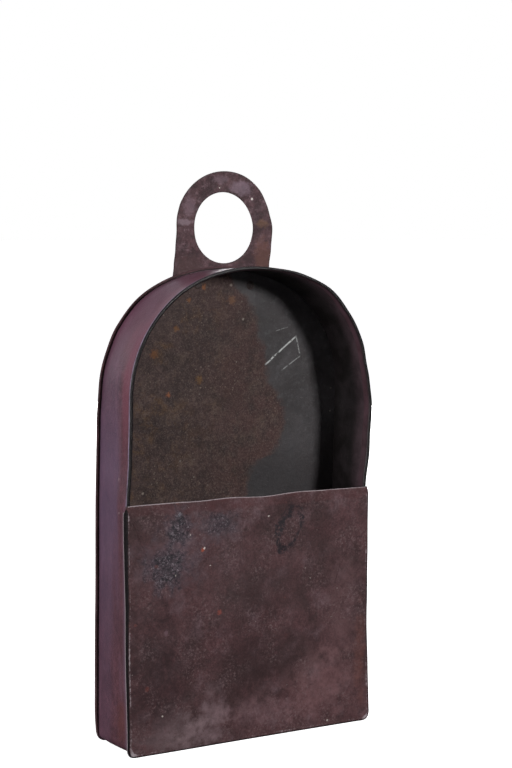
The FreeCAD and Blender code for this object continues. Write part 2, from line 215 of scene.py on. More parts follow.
mottle = cloud(old_paint, where, given.outputs["Mottle Scale"], 9.0, 0.78, 0.2)
lightness = calc(old_paint, "MULTIPLY_ADD", calc(old_paint, "SUBTRACT", mottle, 0.5),
                 times(old_paint, given.outputs["Mottle"], 6.0), 1.0)
lightness = calc(old_paint, "MAXIMUM", lightness, 0.3)
pores = times(old_paint, step(old_paint, grain, 0.3, 0.7, 0.82, 1.16), lightness)
colour = put(old_paint, "ShaderNodeVectorMath", {0: colour, 3: pores}, operation="SCALE").outputs[0]
gloss = times(old_paint, calc(old_paint, "SUBTRACT", other, 0.5), given.outputs["Gloss Change"])
old_paint.links.new(colour, made.inputs["Color"])
old_paint.links.new(calc(old_paint, "ADD", given.outputs["Roughness"], gloss), made.inputs["Roughness"])
height = calc(old_paint, "ADD", grain, calc(old_paint, "MULTIPLY_ADD", mottle, 3.0,
                                            times(old_paint, wide, 2.0)))
old_paint.links.new(height, made.inputs["Height"])
print("group:", old_paint.name)

# %% [markdown]
# ## Specks
# Rust that breaks through, chips of lost paint and spatters are all small spots, strewn unevenly. A
# Voronoi texture gives one random cell centre after another: a spot is drawn round a centre, and each
# cell's own random value decides whether it has a spot, and how large. Clouds thin them out in places.

# %% Shader group: specks
specks, given, made = new_group(
    "specks",
    {"Vector": PLACE, "Scale": ("Float", 200.0), "Share": ("Float", 0.2), "Size": ("Float", 0.3),
     "Softness": ("Float", 0.1)},
    {"Mask": NUMBER},
)
where = given.outputs["Vector"]
ragged = put(specks, "ShaderNodeTexNoise",
             {"Vector": where, "Scale": times(specks, given.outputs["Scale"], 3.0)})
jolt = calc(specks, "DIVIDE", 0.35, given.outputs["Scale"])
shake = put(specks, "ShaderNodeVectorMath", {0: ragged.outputs["Color"], 3: jolt}, operation="SCALE")
moved = put(specks, "ShaderNodeVectorMath", {0: where, 1: shake.outputs[0]}, operation="ADD").outputs[0]
cells = put(specks, "ShaderNodeTexVoronoi", {"Vector": moved, "Scale": given.outputs["Scale"]})
draw = put(specks, "ShaderNodeSeparateColor", {0: cells.outputs["Color"]})
chosen = calc(specks, "LESS_THAN", draw.outputs[0], given.outputs["Share"])
reach = times(specks, given.outputs["Size"], calc(specks, "ADD", 0.35, draw.outputs[1]))
inner = calc(specks, "SUBTRACT", reach, given.outputs["Softness"])
spot = step(specks, cells.outputs["Distance"], inner, reach, 1.0, 0.0)
thinned = step(specks, cloud(specks, where, 22.0, 2.0), 0.42, 0.58)
specks.links.new(times(specks, times(specks, spot, chosen), thinned), made.inputs["Mask"])
print("group:", specks.name)

# %% [markdown]
# ## Patches
# A repair, a stain or a place where hands have rubbed is a soft shape with a ragged rim. The group measures
# how far a point is from the patch's centre, in units of the patch's own size, and lets clouds eat into it.
# It is used for the burnt blisters, the smear and the rubbed places, each with its own values.

# %% Shader group: ragged patch
patch, given, made = new_group(
    "ragged patch",
    {"Vector": PLACE, "Centre": ("Vector", None), "Size": ("Vector", (0.02, 1.0, 0.02)),
     "Grain": ("Float", 150.0), "Raggedness": ("Float", 0.6), "Softness": ("Float", 0.25)},
    {"Mask": NUMBER, "Reach": NUMBER},
)
where = given.outputs["Vector"]
off = put(patch, "ShaderNodeVectorMath", {0: where, 1: given.outputs["Centre"]},
          operation="SUBTRACT").outputs[0]
scaled = put(patch, "ShaderNodeVectorMath", {0: off, 1: given.outputs["Size"]}, operation="DIVIDE").outputs[0]
length = put(patch, "ShaderNodeVectorMath", {0: scaled}, operation="LENGTH").outputs["Value"]
torn = sway(patch, where, given.outputs["Grain"], 4.0, 0.6)
reach = calc(patch, "MULTIPLY_ADD", torn, given.outputs["Raggedness"], length)
rim = calc(patch, "SUBTRACT", 1.0, given.outputs["Softness"])
patch.links.new(step(patch, reach, rim, 1.0, 1.0, 0.0), made.inputs["Mask"])
patch.links.new(reach, made.inputs["Reach"])
print("group:", patch.name)

# %% [markdown]
# ## Worn edges
# Paint goes first where a fold or an edge sticks out. Each sheet piece below carries an attribute that
# says how near a point is to such an edge, from 0 to 1; on the band and the panel it is also stronger on the
# left, where an edge catches the light, so the same marks lay painted highlights. The group only has to break
# that clean band up with fine clouds, as real wear does.

# %% Shader group: edge wear
edge_wear, given, made = new_group(
    "edge wear",
    {"Vector": PLACE, "Edge": ("Float", 0.0), "Strength": ("Float", 1.0), "Grain": ("Float", 420.0)},
    {"Mask": NUMBER},
)
chatter = cloud(edge_wear, given.outputs["Vector"], given.outputs["Grain"], 4.0, 0.7)
runs = cloud(edge_wear, given.outputs["Vector"], 45.0, 2.0)
level = calc(edge_wear, "MULTIPLY_ADD", calc(edge_wear, "SUBTRACT", chatter, 0.5), 0.9, given.outputs["Edge"])
level = calc(edge_wear, "MULTIPLY_ADD", calc(edge_wear, "SUBTRACT", runs, 0.5), 0.9, level)
mask = times(edge_wear, step(edge_wear, level, 0.45, 0.85), given.outputs["Strength"])
edge_wear.links.new(mask, made.inputs["Mask"])
print("group:", edge_wear.name)

# %% [markdown]
# ## Dust
# Dust lies where the surface looks up, and thins out in clouds. The group reads how far the normal points
# upwards, so one group serves the floor of the pocket, the crown and the candle.

# %% Shader group: dust
dust, given, made = new_group(
    "dust", {"Vector": PLACE, "Amount": ("Float", 0.5)}, {"Mask": NUMBER}
)
facing = put(dust, "ShaderNodeNewGeometry")
rise = put(dust, "ShaderNodeSeparateXYZ", {0: facing.outputs["Normal"]}).outputs["Z"]
thin = step(dust, cloud(dust, given.outputs["Vector"], 60.0, 5.0, 0.65), 0.3, 0.7)
lying = times(dust, step(dust, rise, 0.35, 0.95), thin)
dust.links.new(times(dust, lying, given.outputs["Amount"]), made.inputs["Mask"])
print("group:", dust.name)

# %% [markdown]
# ## Scratches
# A scratch is a thin straight line with a start, a direction and a length, a little broken up along its
# way. The group turns the surface so that the scratch lies along X, and draws a band round that line.

# %% Shader group: scratch
scratch, given, made = new_group(
    "scratch",
    {"Vector": PLACE, "Start": ("Vector", None), "Turn": ("Float", 0.0), "Length": ("Float", 0.03),
     "Width": ("Float", 0.0005)},
    {"Mask": NUMBER},
)
where = given.outputs["Vector"]
turned_back = put(scratch, "ShaderNodeVectorRotate",
                  {"Vector": where, "Center": given.outputs["Start"], "Angle": given.outputs["Turn"]},
                  rotation_type="Y_AXIS").outputs[0]
from_start = put(scratch, "ShaderNodeVectorMath", {0: turned_back, 1: given.outputs["Start"]},
                 operation="SUBTRACT").outputs[0]
parts = put(scratch, "ShaderNodeSeparateXYZ", {0: from_start})
wobble = times(scratch, sway(scratch, where, 120.0, 2.0), given.outputs["Width"])
aside = calc(scratch, "ABSOLUTE", calc(scratch, "ADD", parts.outputs["Z"], wobble))
across = step(scratch, aside, times(scratch, given.outputs["Width"], 0.3), given.outputs["Width"], 1.0, 0.0)
begun = step(scratch, parts.outputs["X"], 0.0, 0.002)
past_end = calc(scratch, "SUBTRACT", parts.outputs["X"], given.outputs["Length"])
ended = step(scratch, past_end, -0.004, 0.0, 1.0, 0.0)
broken = step(scratch, cloud(scratch, where, 520.0, 5.0, 0.7), 0.38, 0.52)
mask = times(scratch, times(scratch, begun, ended), times(scratch, across, broken))
scratch.links.new(mask, made.inputs["Mask"])
print("group:", scratch.name)

# %% [markdown]
# ## A material's common parts
# All painted pieces start the same way: object coordinates, the old paint group and a Principled shader.
# The helper makes that start and hands back what the piece's own marks are laid over.

# %% Helpers for materials
def new_material(name, **shader):
    """A material with one Principled shader; values that are the same all over sit on its own sockets."""
    material = bpy.data.materials.new(name)
    material.use_nodes = True
    tree = material.node_tree
    tree.nodes.clear()
    surface = put(tree, "ShaderNodeBsdfPrincipled")
    for socket, value in shader.items():
        surface.inputs[socket.replace("_", " ")].default_value = value
    tree.links.new(surface.outputs[0], put(tree, "ShaderNodeOutputMaterial").inputs["Surface"])
    where = put(tree, "ShaderNodeTexCoord").outputs["Object"]
    return material, tree, surface, where


def lay(tree, colour, shade, mask, strength=1.0):
    """Lays a shade over a colour where the mask is, as thickly as strength says."""
    share = mask if strength == 1.0 else times(tree, mask, strength)
    return blend(tree, share, colour, shade)


def dotted(tree, colour, where, dots, strength, **rim):
    """Lays small ragged dots over a colour; each dot has its centre, radius and shade."""
    for centre, radius, shade in dots:
        dot = use(tree, patch, Vector=where, Centre=centre, Size=(radius, 1, radius), **rim)
        colour = lay(tree, colour, shade, dot.outputs["Mask"], strength)
    return colour


def attribute(tree, name):
    """An attribute of the piece itself, such as its wear and painted highlight at a point."""
    return put(tree, "ShaderNodeAttribute", attribute_name=name).outputs["Fac"]


def bump(tree, surface, height, distance):
    """Feeds a height to the shader's normal; distance is the bump's depth in metres."""
    node = put(tree, "ShaderNodeBump", {"Height": height, "Strength": 1.0, "Distance": distance})
    tree.links.new(node.outputs[0], surface.inputs["Normal"])


def finish_surface(tree, surface, colour, rough):
    tree.links.new(colour, surface.inputs["Base Color"])
    tree.links.new(rough, surface.inputs["Roughness"])


def axis_of(tree, where, axis):
    return put(tree, "ShaderNodeSeparateXYZ", {0: where}).outputs[axis]


def tone(red, green, blue):
    """A colour as it is seen, 0 to 255, turned into the linear values that the shaders work in."""
    seen = [value / 255 for value in (red, green, blue)]
    return [*(v / 12.92 if v <= 0.04045 else ((v + 0.055) / 1.055) ** 2.4 for v in seen), 1]


CHIP = tone(168, 158, 152)
RUST = tone(120, 62, 34)
DARK_GRIME_AND_SHADE = tone(17, 12, 14)
WORN_LILAC_HIGHLIGHT = tone(150, 134, 158)
DUST = tone(150, 138, 132)
print("material helpers ready")

# %% [markdown]
# ## Finish of the side band
# The band's paint is maroon, rosier round the arch. On the straight sides, towards the back and up to the
# shoulders, a lilac painted reflection of the white backdrop lies on it, and lilac streaks that run up and
# down are painted reflections of the sheet's waves. Inside, soot and age have turned it nearly black.

# %% Material: side band
band_paint, tree, surface, where = new_material("maroon_band_paint", Specular_IOR_Level=0.3)
paint = use(tree, old_paint, Vector=where, Paint=tone(86, 54, 62), Faded=tone(94, 64, 76),
            Dark=tone(72, 44, 50), Cloud_Scale=18.0, Grain_Scale=600.0, Roughness=0.4)
drawn = put(tree, "ShaderNodeMapping", {"Vector": where, "Scale": (1.0, 1.0, 0.12)}).outputs[0]
deep, height = axis_of(tree, where, "Y"), axis_of(tree, where, "Z")
swaying = calc(tree, "MULTIPLY_ADD", sway(tree, drawn, 55.0, 3.0), 0.045, deep)
# painted reflection: the white backdrop mirrored in the glossy sides, laid on as lilac towards the back and
# up to the shoulders
painted_reflection = times(tree, step(tree, swaying, -0.012, 0.010), step(tree, height, 0.02, 0.20, 0.35, 1.0))
painted_reflection = times(tree, painted_reflection, step(tree, height, 0.20, 0.27, 0.6, 0.3))
colour = lay(tree, paint.outputs["Color"], tone(94, 76, 100), painted_reflection)
# a paler painted reflection near the front edge, below the shoulders
front_painted_reflection = times(tree, step(tree, deep, -0.013, -0.019), step(tree, height, 0.185, 0.13))
colour = lay(tree, colour, tone(104, 88, 108), front_painted_reflection, 0.5)
# painted reflection streaks: lilac bands up and down, where the waves of the sheet mirror the backdrop
reflection_streaks = step(tree, cloud(tree, drawn, 130.0, 4.0, 0.6), 0.5, 0.72)
colour = lay(tree, colour, tone(116, 84, 100), reflection_streaks, 0.35)
rosy = times(tree, step(tree, swaying, -0.004, -0.016), step(tree, height, 0.19, 0.27))
colour = lay(tree, colour, tone(112, 58, 72), rosy, 0.7)
arch_red = step(tree, height, 0.25, 0.31)
colour = lay(tree, colour, tone(104, 62, 78), arch_red, 0.55)
rusty_foot = use(tree, patch, Vector=where, Centre=(-0.1, -0.012, 0.024), Size=(0.05, 0.011, 0.022),
                 Grain=160.0, Raggedness=1.5, Softness=0.8)
colour = lay(tree, colour, tone(100, 56, 50), rusty_foot.outputs["Mask"], 0.4)
chips = use(tree, specks, Vector=where, Scale=150.0, Share=0.03, Size=0.16, Softness=0.05)
colour = lay(tree, colour, tone(140, 116, 120), chips.outputs["Mask"])
inside = attribute(tree, "inside")
sooty = blend(tree, step(tree, cloud(tree, where, 60.0, 5.0), 0.4, 0.7), tone(26, 22, 22), tone(44, 38, 40))
patchy = step(tree, cloud(tree, where, 70.0, 6.0, 0.7), 0.35, 0.65, 0.4, 1.0)
lit_lip = times(tree, step(tree, deep, 0.0, -0.014), patchy)
sooty = blend(tree, lit_lip, sooty, tone(74, 58, 64))
colour = lay(tree, colour, sooty, inside)
# grime and painted shade: near black on the rim's front fold and in the gap of its hem, where shade falls
colour = lay(tree, colour, DARK_GRIME_AND_SHADE, attribute(tree, "grime_and_shade"))
# wear and painted highlight: a lilac line on the rim's edges, stronger on the left where the edges catch the
# light
wear = use(tree, edge_wear, Vector=where, Edge=attribute(tree, "wear_and_highlight"), Strength=0.75)
colour = lay(tree, colour, WORN_LILAC_HIGHLIGHT, wear.outputs["Mask"])
# on the band the lilac on upward faces, the crown's top above all, is dust and a painted reflection of the
# light above
fallen = use(tree, dust, Vector=where, Amount=0.22)
colour = lay(tree, colour, tone(132, 104, 118), fallen.outputs["Mask"])
finish_surface(tree, surface, colour, calc(tree, "ADD", paint.outputs["Roughness"], times(tree, inside, 0.1)))
bump(tree, surface, paint.outputs["Height"], 0.00012)
print("material:", band_paint.name)

# %% [markdown]
# ## Finish of the front panel
# The panel has had the most handling: clouds of red-brown and grey-brown, paler low down where it was
# rubbed, darker at the left. Soft patches with a place, a size and a shade of their own lie on the old
# paint, and one fine cloud breaks all of them up, so that none has a clean rim.

# %% Material: front panel
panel_paint, tree, surface, where = new_material(
    "maroon_panel_paint", Specular_IOR_Level=0.12, Coat_Roughness=0.32)
paint = use(tree, old_paint, Vector=where, Paint=tone(71, 48, 50), Faded=tone(84, 65, 69),
            Dark=tone(54, 37, 38), Cloud_Scale=26.0, Grain_Scale=650.0, Roughness=0.5)
colour = paint.outputs["Color"]
cloudy = step(tree, cloud(tree, where, 240.0, 8.0, 0.8), 0.34, 0.64, 0.35, 1.0)
# centre, size, strength and shade of the rubbed and the darkened places on the face
FACE_PLACES = (
    ((-0.056, 0, 0.014), (0.050, 1, 0.022), 0.8, tone(110, 92, 95)),
    ((-0.030, 0, 0.022), (0.016, 1, 0.026), 0.6, tone(112, 92, 96)),
    ((0.010, 0, 0.020), (0.042, 1, 0.014), 0.6, tone(106, 80, 84)),
    ((0.062, 0, 0.034), (0.044, 1, 0.036), 0.7, tone(108, 78, 80)),
    ((0.012, 0, 0.058), (0.050, 1, 0.026), 0.7, tone(46, 33, 34)),
    ((-0.078, 0, 0.060), (0.034, 1, 0.075), 0.85, tone(42, 29, 31)),
    ((0.080, 0, 0.090), (0.022, 1, 0.060), 0.5, tone(96, 70, 72)),
    ((0.097, 0, 0.050), (0.007, 1, 0.050), 0.32, tone(108, 66, 58)),
    ((-0.064, 0, 0.142), (0.040, 1, 0.030), 0.5, tone(80, 70, 78)),
    ((-0.030, 0, 0.162), (0.034, 1, 0.016), 0.5, tone(80, 72, 78)),
    ((0.012, 0, 0.115), (0.065, 1, 0.030), 0.5, tone(54, 39, 40)),
)
for centre, size, strength, shade in FACE_PLACES:
    worn_place = use(tree, patch, Vector=where, Centre=centre, Size=size, Grain=95.0, Raggedness=1.9,
                     Softness=0.8)
    share = times(tree, worn_place.outputs["Mask"], times(tree, cloudy, strength))
    colour = lay(tree, colour, shade, share)
freckled = times(tree, step(tree, cloud(tree, where, 520.0, 6.0, 0.8), 0.5, 0.62),
                step(tree, cloud(tree, where, 38.0, 3.0), 0.42, 0.62))
colour = lay(tree, colour, tone(116, 96, 98), freckled, 0.4)
print("panel: rubbed places", len(FACE_PLACES))

# %% [markdown]
# ## Burnt blisters and a smear
# A flame once blistered the paint high on the left. Three ragged patches say where, and inside them a net of
# Voronoi cells gives the cracks, with charred flakes and pale lifted flakes from two clouds; the pale flakes
# also carry painted glints. The sooty smear beside them is a slanted ragged patch with a ragged hole, made
# uneven by a few blots and by a cloud that rubs it thin.

# %% Front panel: blisters and smear
BURNT_PLACES = (((-0.060, 0, 0.163), (0.014, 1, 0.020)), ((-0.069, 0, 0.135), (0.022, 1, 0.021)),
                ((-0.026, 0, 0.163), (0.018, 1, 0.013)))
SMEAR_MIDDLE, SMEAR_SLANT = (0.0318, 0, 0.1545), math.radians(-27)
SMEAR_BLOTS = (((0.0325, 0, 0.1665), (0.0060, 1, 0.0042)), ((0.0415, 0, 0.1665), (0.0036, 1, 0.0034)),
               ((0.0262, 0, 0.1405), (0.0056, 1, 0.0034)), ((0.0258, 0, 0.1580), (0.0042, 1, 0.0075)))
burnt_masks = [
    use(tree, patch, Vector=where, Centre=centre, Size=size, Grain=130.0, Raggedness=1.8, Softness=0.8)
    .outputs["Mask"] for centre, size in BURNT_PLACES
]
burnt = calc(tree, "MAXIMUM", calc(tree, "MAXIMUM", burnt_masks[0], burnt_masks[1]),
             times(tree, burnt_masks[2], 0.6))
blisters = put(tree, "ShaderNodeTexVoronoi", {"Vector": where, "Scale": 380.0},
               feature="DISTANCE_TO_EDGE").outputs["Distance"]
cracked = times(tree, step(tree, blisters, 0.04, 0.2, 1.0, 0.0), burnt)
charred = times(tree, step(tree, cloud(tree, where, 360.0, 6.0, 0.75), 0.48, 0.6), burnt)
# pale lifted flakes, with painted glints where their edges catch the light
lifted_and_glinting = times(tree, step(tree, cloud(tree, where, 520.0, 5.0, 0.75), 0.52, 0.62), burnt)
colour = lay(tree, colour, tone(78, 70, 80), burnt, 0.45)
colour = lay(tree, colour, tone(34, 31, 38), charred, 0.9)
colour = lay(tree, colour, tone(30, 26, 31), cracked, 0.6)
colour = lay(tree, colour, tone(138, 126, 134), lifted_and_glinting, 0.75)
slanted = put(tree, "ShaderNodeVectorRotate",
              {"Vector": where, "Center": SMEAR_MIDDLE, "Angle": SMEAR_SLANT},
              rotation_type="Y_AXIS").outputs[0]
smear = use(tree, patch, Vector=slanted, Centre=SMEAR_MIDDLE, Size=(0.0122, 1, 0.0196), Grain=150.0,
            Raggedness=0.9, Softness=0.2)
hollow = use(tree, patch, Vector=slanted, Centre=(0.0336, 0, 0.1538), Size=(0.0080, 1, 0.0146), Grain=200.0,
             Raggedness=1.0, Softness=0.3)
ring = calc(tree, "MAXIMUM", calc(tree, "SUBTRACT", smear.outputs["Mask"], hollow.outputs["Mask"]), 0.0)
for centre, size in SMEAR_BLOTS:
    blot = use(tree, patch, Vector=where, Centre=centre, Size=size, Grain=330.0, Raggedness=1.4, Softness=0.5)
    ring = calc(tree, "MAXIMUM", ring, blot.outputs["Mask"])
rubbed = step(tree, cloud(tree, where, 190.0, 6.0, 0.8), 0.4, 0.53, 0.1, 1.0)
colour = lay(tree, colour, tone(26, 23, 28), times(tree, ring, rubbed), 0.9)
print("panel: burnt places", len(BURNT_PLACES))

# %% [markdown]
# ## Chips, grime, painted shade and highlights, and gloss of the panel
# A few chips and rust spots are large enough to have a place of their own, and the rest are strewn. The hem
# behind the top edge shows as a redder stripe, grime and painted shade sit along the folds, and bare metal
# and painted highlights show on them.
# A thin coat, stronger on the blisters, gives the patchy gloss of paint that has been handled.

# %% Front panel: chips, grime and painted shade, painted highlights and gloss
FACE_DOTS = (
    ((-0.0404, 0, 0.1451), 0.0020, tone(140, 72, 56)), ((-0.0392, 0, 0.1462), 0.0010, tone(205, 196, 190)),
    ((-0.0264, 0, 0.0985), 0.0022, tone(108, 56, 50)), ((-0.060, 0, 0.1725), 0.0018, tone(120, 116, 124)),
    ((-0.0511, 0, 0.1569), 0.0008, CHIP), ((-0.0719, 0, 0.0280), 0.0009, CHIP),
    ((0.0690, 0, 0.0050), 0.001, CHIP), ((0.0143, 0, 0.1653), 0.0009, CHIP),
    ((-0.0695, 0, 0.0880), 0.0024, tone(90, 68, 74)),
)
colour = dotted(tree, colour, where, FACE_DOTS, 0.85, Grain=900.0, Raggedness=2.2, Softness=0.5)
hem_print = times(tree, step(tree, axis_of(tree, where, "Z"), 0.1715, 0.1745),
                 step(tree, cloud(tree, where, 90.0, 4.0), 0.3, 0.6))
colour = lay(tree, colour, tone(78, 46, 47), hem_print, 0.32)
red_specks = use(tree, specks, Vector=where, Scale=130.0, Share=0.16, Size=0.22, Softness=0.14)
colour = lay(tree, colour, tone(108, 56, 48), red_specks.outputs["Mask"], 0.35)
pale_specks = use(tree, specks, Vector=where, Scale=210.0, Share=0.05, Size=0.17, Softness=0.06)
colour = lay(tree, colour, CHIP, pale_specks.outputs["Mask"], 0.8)
inside = attribute(tree, "inside")
colour = lay(tree, colour, tone(40, 33, 32), inside)
# grime and painted shade along the folds: a near-black line where the face turns back over the fold, and
# along the foot
soiled_and_shaded = calc(tree, "MULTIPLY_ADD", sway(tree, where, 260.0, 5.0, 0.75), 1.4, attribute(tree, "grime_and_shade"))
soiled_and_shaded = step(tree, soiled_and_shaded, 0.25, 0.7, 0.0, 0.97)
colour = lay(tree, colour, tone(14, 10, 12), soiled_and_shaded)
# bare metal on worn edges, and painted highlights on the left fold and the top edge, where they catch the
# light
wear = use(tree, edge_wear, Vector=where, Edge=attribute(tree, "wear_and_highlight"), Strength=0.9, Grain=650.0)
colour = lay(tree, colour, tone(150, 138, 142), wear.outputs["Mask"])
fallen = use(tree, dust, Vector=where, Amount=0.2)
colour = lay(tree, colour, DUST, fallen.outputs["Mask"])
finish_surface(tree, surface, colour, paint.outputs["Roughness"])
handled = step(tree, cloud(tree, where, 160.0, 6.0, 0.75), 0.5, 0.7, 0.0, 0.16)
sheen = calc(tree, "MULTIPLY_ADD", burnt, 0.45, handled)
tree.links.new(times(tree, sheen, calc(tree, "SUBTRACT", 1.0, soiled_and_shaded)), surface.inputs["Coat Weight"])
relief = calc(tree, "SUBTRACT", paint.outputs["Height"], times(tree, cracked, 3.5))
relief = calc(tree, "SUBTRACT", relief, times(tree, charred, 2.5))
relief = calc(tree, "ADD", relief, times(tree, lifted_and_glinting, 2.5))
bump(tree, surface, relief, 0.00016)
print("material:", panel_paint.name)

# %% [markdown]
# ## Finish of the back plate
# Inside, the back plate is smoke-brown with a crust of fine rust, and at the right the paint is gone and
# dull blue-grey iron shows, with bright scratches across it. The finish is built up in that order: first the
# smoke, with ochre high on the left and red-brown to the right, then a crust of grains over it.

# %% Material: back plate
back_paint, tree, surface, where = new_material("smoked_back_plate", Specular_IOR_Level=0.1)
across, height = axis_of(tree, where, "X"), axis_of(tree, where, "Z")
smoke = use(tree, old_paint, Vector=where, Paint=tone(62, 48, 46), Faded=tone(76, 62, 56),
            Dark=tone(50, 39, 38), Cloud_Scale=34.0, Grain_Scale=420.0, Roughness=0.55)
colour = smoke.outputs["Color"]
mottle = cloud(tree, where, 190.0, 8.0, 0.8)
colour = lay(tree, colour, tone(86, 70, 62), step(tree, mottle, 0.52, 0.64, 0.0, 0.55))
colour = lay(tree, colour, tone(38, 29, 28), step(tree, mottle, 0.49, 0.38, 0.0, 0.65))
towards_high_left = calc(tree, "MULTIPLY_ADD", height, 0.35, times(tree, across, -1.0))
ochre = times(tree, step(tree, cloud(tree, where, 75.0, 6.0, 0.75, 0.4), 0.5, 0.66),
              step(tree, towards_high_left, 0.07, 0.16, 0.15, 1.0))
colour = lay(tree, colour, tone(92, 66, 38), ochre, 0.42)
ruddy = step(tree, cloud(tree, where, 50.0, 5.0, 0.7), 0.35, 0.6)
redder = times(tree, step(tree, across, -0.05, 0.03), ruddy)
colour = lay(tree, colour, tone(72, 49, 47), redder, 0.55)
sanded = cloud(tree, where, 900.0, 5.0, 0.8)
colour = lay(tree, colour, tone(100, 88, 84), step(tree, sanded, 0.52, 0.62, 0.0, 0.4))
colour = lay(tree, colour, tone(34, 27, 27), step(tree, sanded, 0.48, 0.38, 0.0, 0.55))
crust = use(tree, specks, Vector=where, Scale=480.0, Share=0.35, Size=0.3, Softness=0.2)
colour = lay(tree, colour, tone(122, 108, 98), crust.outputs["Mask"], 0.6)
print("back plate: smoke, ochre and crust")

# %% [markdown]
# ## Bare iron on the back plate
# A curve node holds how far from the middle the border lies at each height. A cloud pushes it to and fro, and
# what is past it turns to iron: grey in two clouds, darker low down, with its own dots and bright scratches.

# %% Back plate: bare iron and scratches
# height and distance from the middle, in millimetres, along the border of the bare iron
BARE_BORDER = ((160, 18), (183, 22), (198, 28), (204, 44), (221, 51), (236, 52), (250, 47), (259, 37),
               (273, 36), (296, 29), (320, 20), (334, 6), (360, 0))
PLATE_DOTS = (
    ((-0.0459, 0, 0.2517), 0.0022, tone(142, 84, 52)), ((-0.0172, 0, 0.3299), 0.0026, tone(128, 78, 42)),
    ((-0.0295, 0, 0.3205), 0.0022, tone(120, 78, 46)), ((0.0067, 0, 0.3200), 0.0045, tone(104, 72, 52)),
    ((-0.0655, 0, 0.1803), 0.0014, tone(150, 138, 128)), ((0.0056, 0, 0.3311), 0.0016, tone(140, 128, 118)),
    ((0.0164, 0, 0.3057), 0.0012, tone(140, 132, 124)), ((-0.058, 0, 0.282), 0.0045, tone(104, 66, 36)),
    ((-0.040, 0, 0.300), 0.003, tone(108, 72, 40)), ((-0.020, 0, 0.262), 0.004, tone(98, 70, 38)),
)
# start, turn in degrees, length, width and strength of each scratch
SCRATCHES = (
    ((0.0358, 0, 0.2707), 37.4, 0.036, 0.0009, 0.95), ((0.0632, 0, 0.2920), -74.6, 0.016, 0.0007, 0.5),
    ((0.0678, 0, 0.2770), 212.5, 0.021, 0.0006, 0.45), ((0.0445, 0, 0.2960), 14.0, 0.014, 0.0004, 0.3),
)
border = put(tree, "ShaderNodeFloatCurve", {"Value": calc(tree, "MULTIPLY_ADD", height, 5.0, -0.8)})
for place, (high_mm, across_mm) in enumerate(BARE_BORDER):
    spot = ((high_mm * MM - 0.16) * 5, across_mm / 100)
    if 0 < place < len(BARE_BORDER) - 1:
        border.mapping.curves[0].points.new(*spot)
    else:
        border.mapping.curves[0].points[0 if place == 0 else -1].location = spot
border.mapping.update()
ragged = times(tree, sway(tree, where, 90.0, 5.0, 0.65), 0.018)
past_border = calc(tree, "ADD", calc(tree, "MULTIPLY_ADD", border.outputs[0], -0.1, across), ragged)
bare = step(tree, past_border, -0.003, 0.005)
iron = blend(tree, step(tree, cloud(tree, where, 40.0, 6.0, 0.65), 0.35, 0.7), tone(50, 49, 50),
             tone(66, 64, 66))
iron = blend(tree, step(tree, cloud(tree, where, 220.0, 4.0, 0.7), 0.5, 0.7, 0.0, 0.3), iron,
             tone(86, 86, 88))
iron = blend(tree, step(tree, height, 0.235, 0.19, 0.0, 0.8), iron, tone(46, 45, 47))
colour = lay(tree, colour, iron, bare, 0.88)
colour = dotted(tree, colour, where, PLATE_DOTS, 0.6, Grain=700.0, Raggedness=2.4, Softness=0.7)
for start, turn, length, width, strength in SCRATCHES:
    mark_line = use(tree, scratch, Vector=where, Start=start, Turn=math.radians(turn), Length=length,
                    Width=width)
    colour = lay(tree, colour, tone(170, 172, 170), mark_line.outputs["Mask"], strength)
pale = use(tree, specks, Vector=where, Scale=260.0, Share=0.10, Size=0.17, Softness=0.07)
colour = lay(tree, colour, tone(132, 124, 116), pale.outputs["Mask"], 0.55)
print("back plate: scratches", len(SCRATCHES))

# %% [markdown]
# ## The back plate's outside
# The face to the wall never saw the flame: plain old paint, with rust where it rubbed on the wall.
# The piece's own attribute says which side a point is on, and so which of the two finishes it gets.

# %% Back plate: outside, grime and painted shade, and edges
outer = use(tree, old_paint, Vector=where, Paint=tone(72, 48, 50), Faded=tone(92, 70, 74),
            Dark=tone(54, 36, 38), Cloud_Scale=20.0, Grain_Scale=600.0, Roughness=0.5)
rust_behind = use(tree, specks, Vector=where, Scale=90.0, Share=0.3, Size=0.35, Softness=0.25)
behind = blend(tree, times(tree, rust_behind.outputs["Mask"], 0.55), outer.outputs["Color"], RUST)
inside = attribute(tree, "inside")
colour = blend(tree, inside, behind, colour)
# grime and painted shade in the groove between the band and the rear seam's lip
colour = lay(tree, colour, DARK_GRIME_AND_SHADE, attribute(tree, "grime_and_shade"))
wear = use(tree, edge_wear, Vector=where, Edge=attribute(tree, "wear_and_highlight"), Strength=0.5)
colour = lay(tree, colour, tone(86, 62, 70), wear.outputs["Mask"])
rough = calc(tree, "SUBTRACT", smoke.outputs["Roughness"], times(tree, bare, 0.14))
finish_surface(tree, surface, colour, rough)
relief = calc(tree, "MULTIPLY_ADD", crust.outputs["Mask"], 0.8, smoke.outputs["Height"])
bump(tree, surface, relief, 0.00012)
print("material:", back_paint.name)

# %% [markdown]
# ## Finish of the hanging tab
# The tab is the same paint, more worn: lilac where the peg and fingers rubbed it, ochre rust low on the
# right, and a few brush-wide streaks across.

# %% Material: hanging tab
tab_paint, tree, surface, where = new_material("maroon_tab_paint", Specular_IOR_Level=0.12)
paint = use(tree, old_paint, Vector=where, Paint=tone(72, 48, 52), Faded=tone(84, 64, 69),
            Dark=tone(52, 33, 37), Cloud_Scale=60.0, Grain_Scale=600.0, Roughness=0.48)
colour = paint.outputs["Color"]
mottle = cloud(tree, where, 210.0, 6.0, 0.75)
colour = lay(tree, colour, tone(112, 88, 94), step(tree, mottle, 0.53, 0.66, 0.0, 0.6))
colour = lay(tree, colour, tone(44, 28, 30), step(tree, mottle, 0.48, 0.37, 0.0, 0.7))
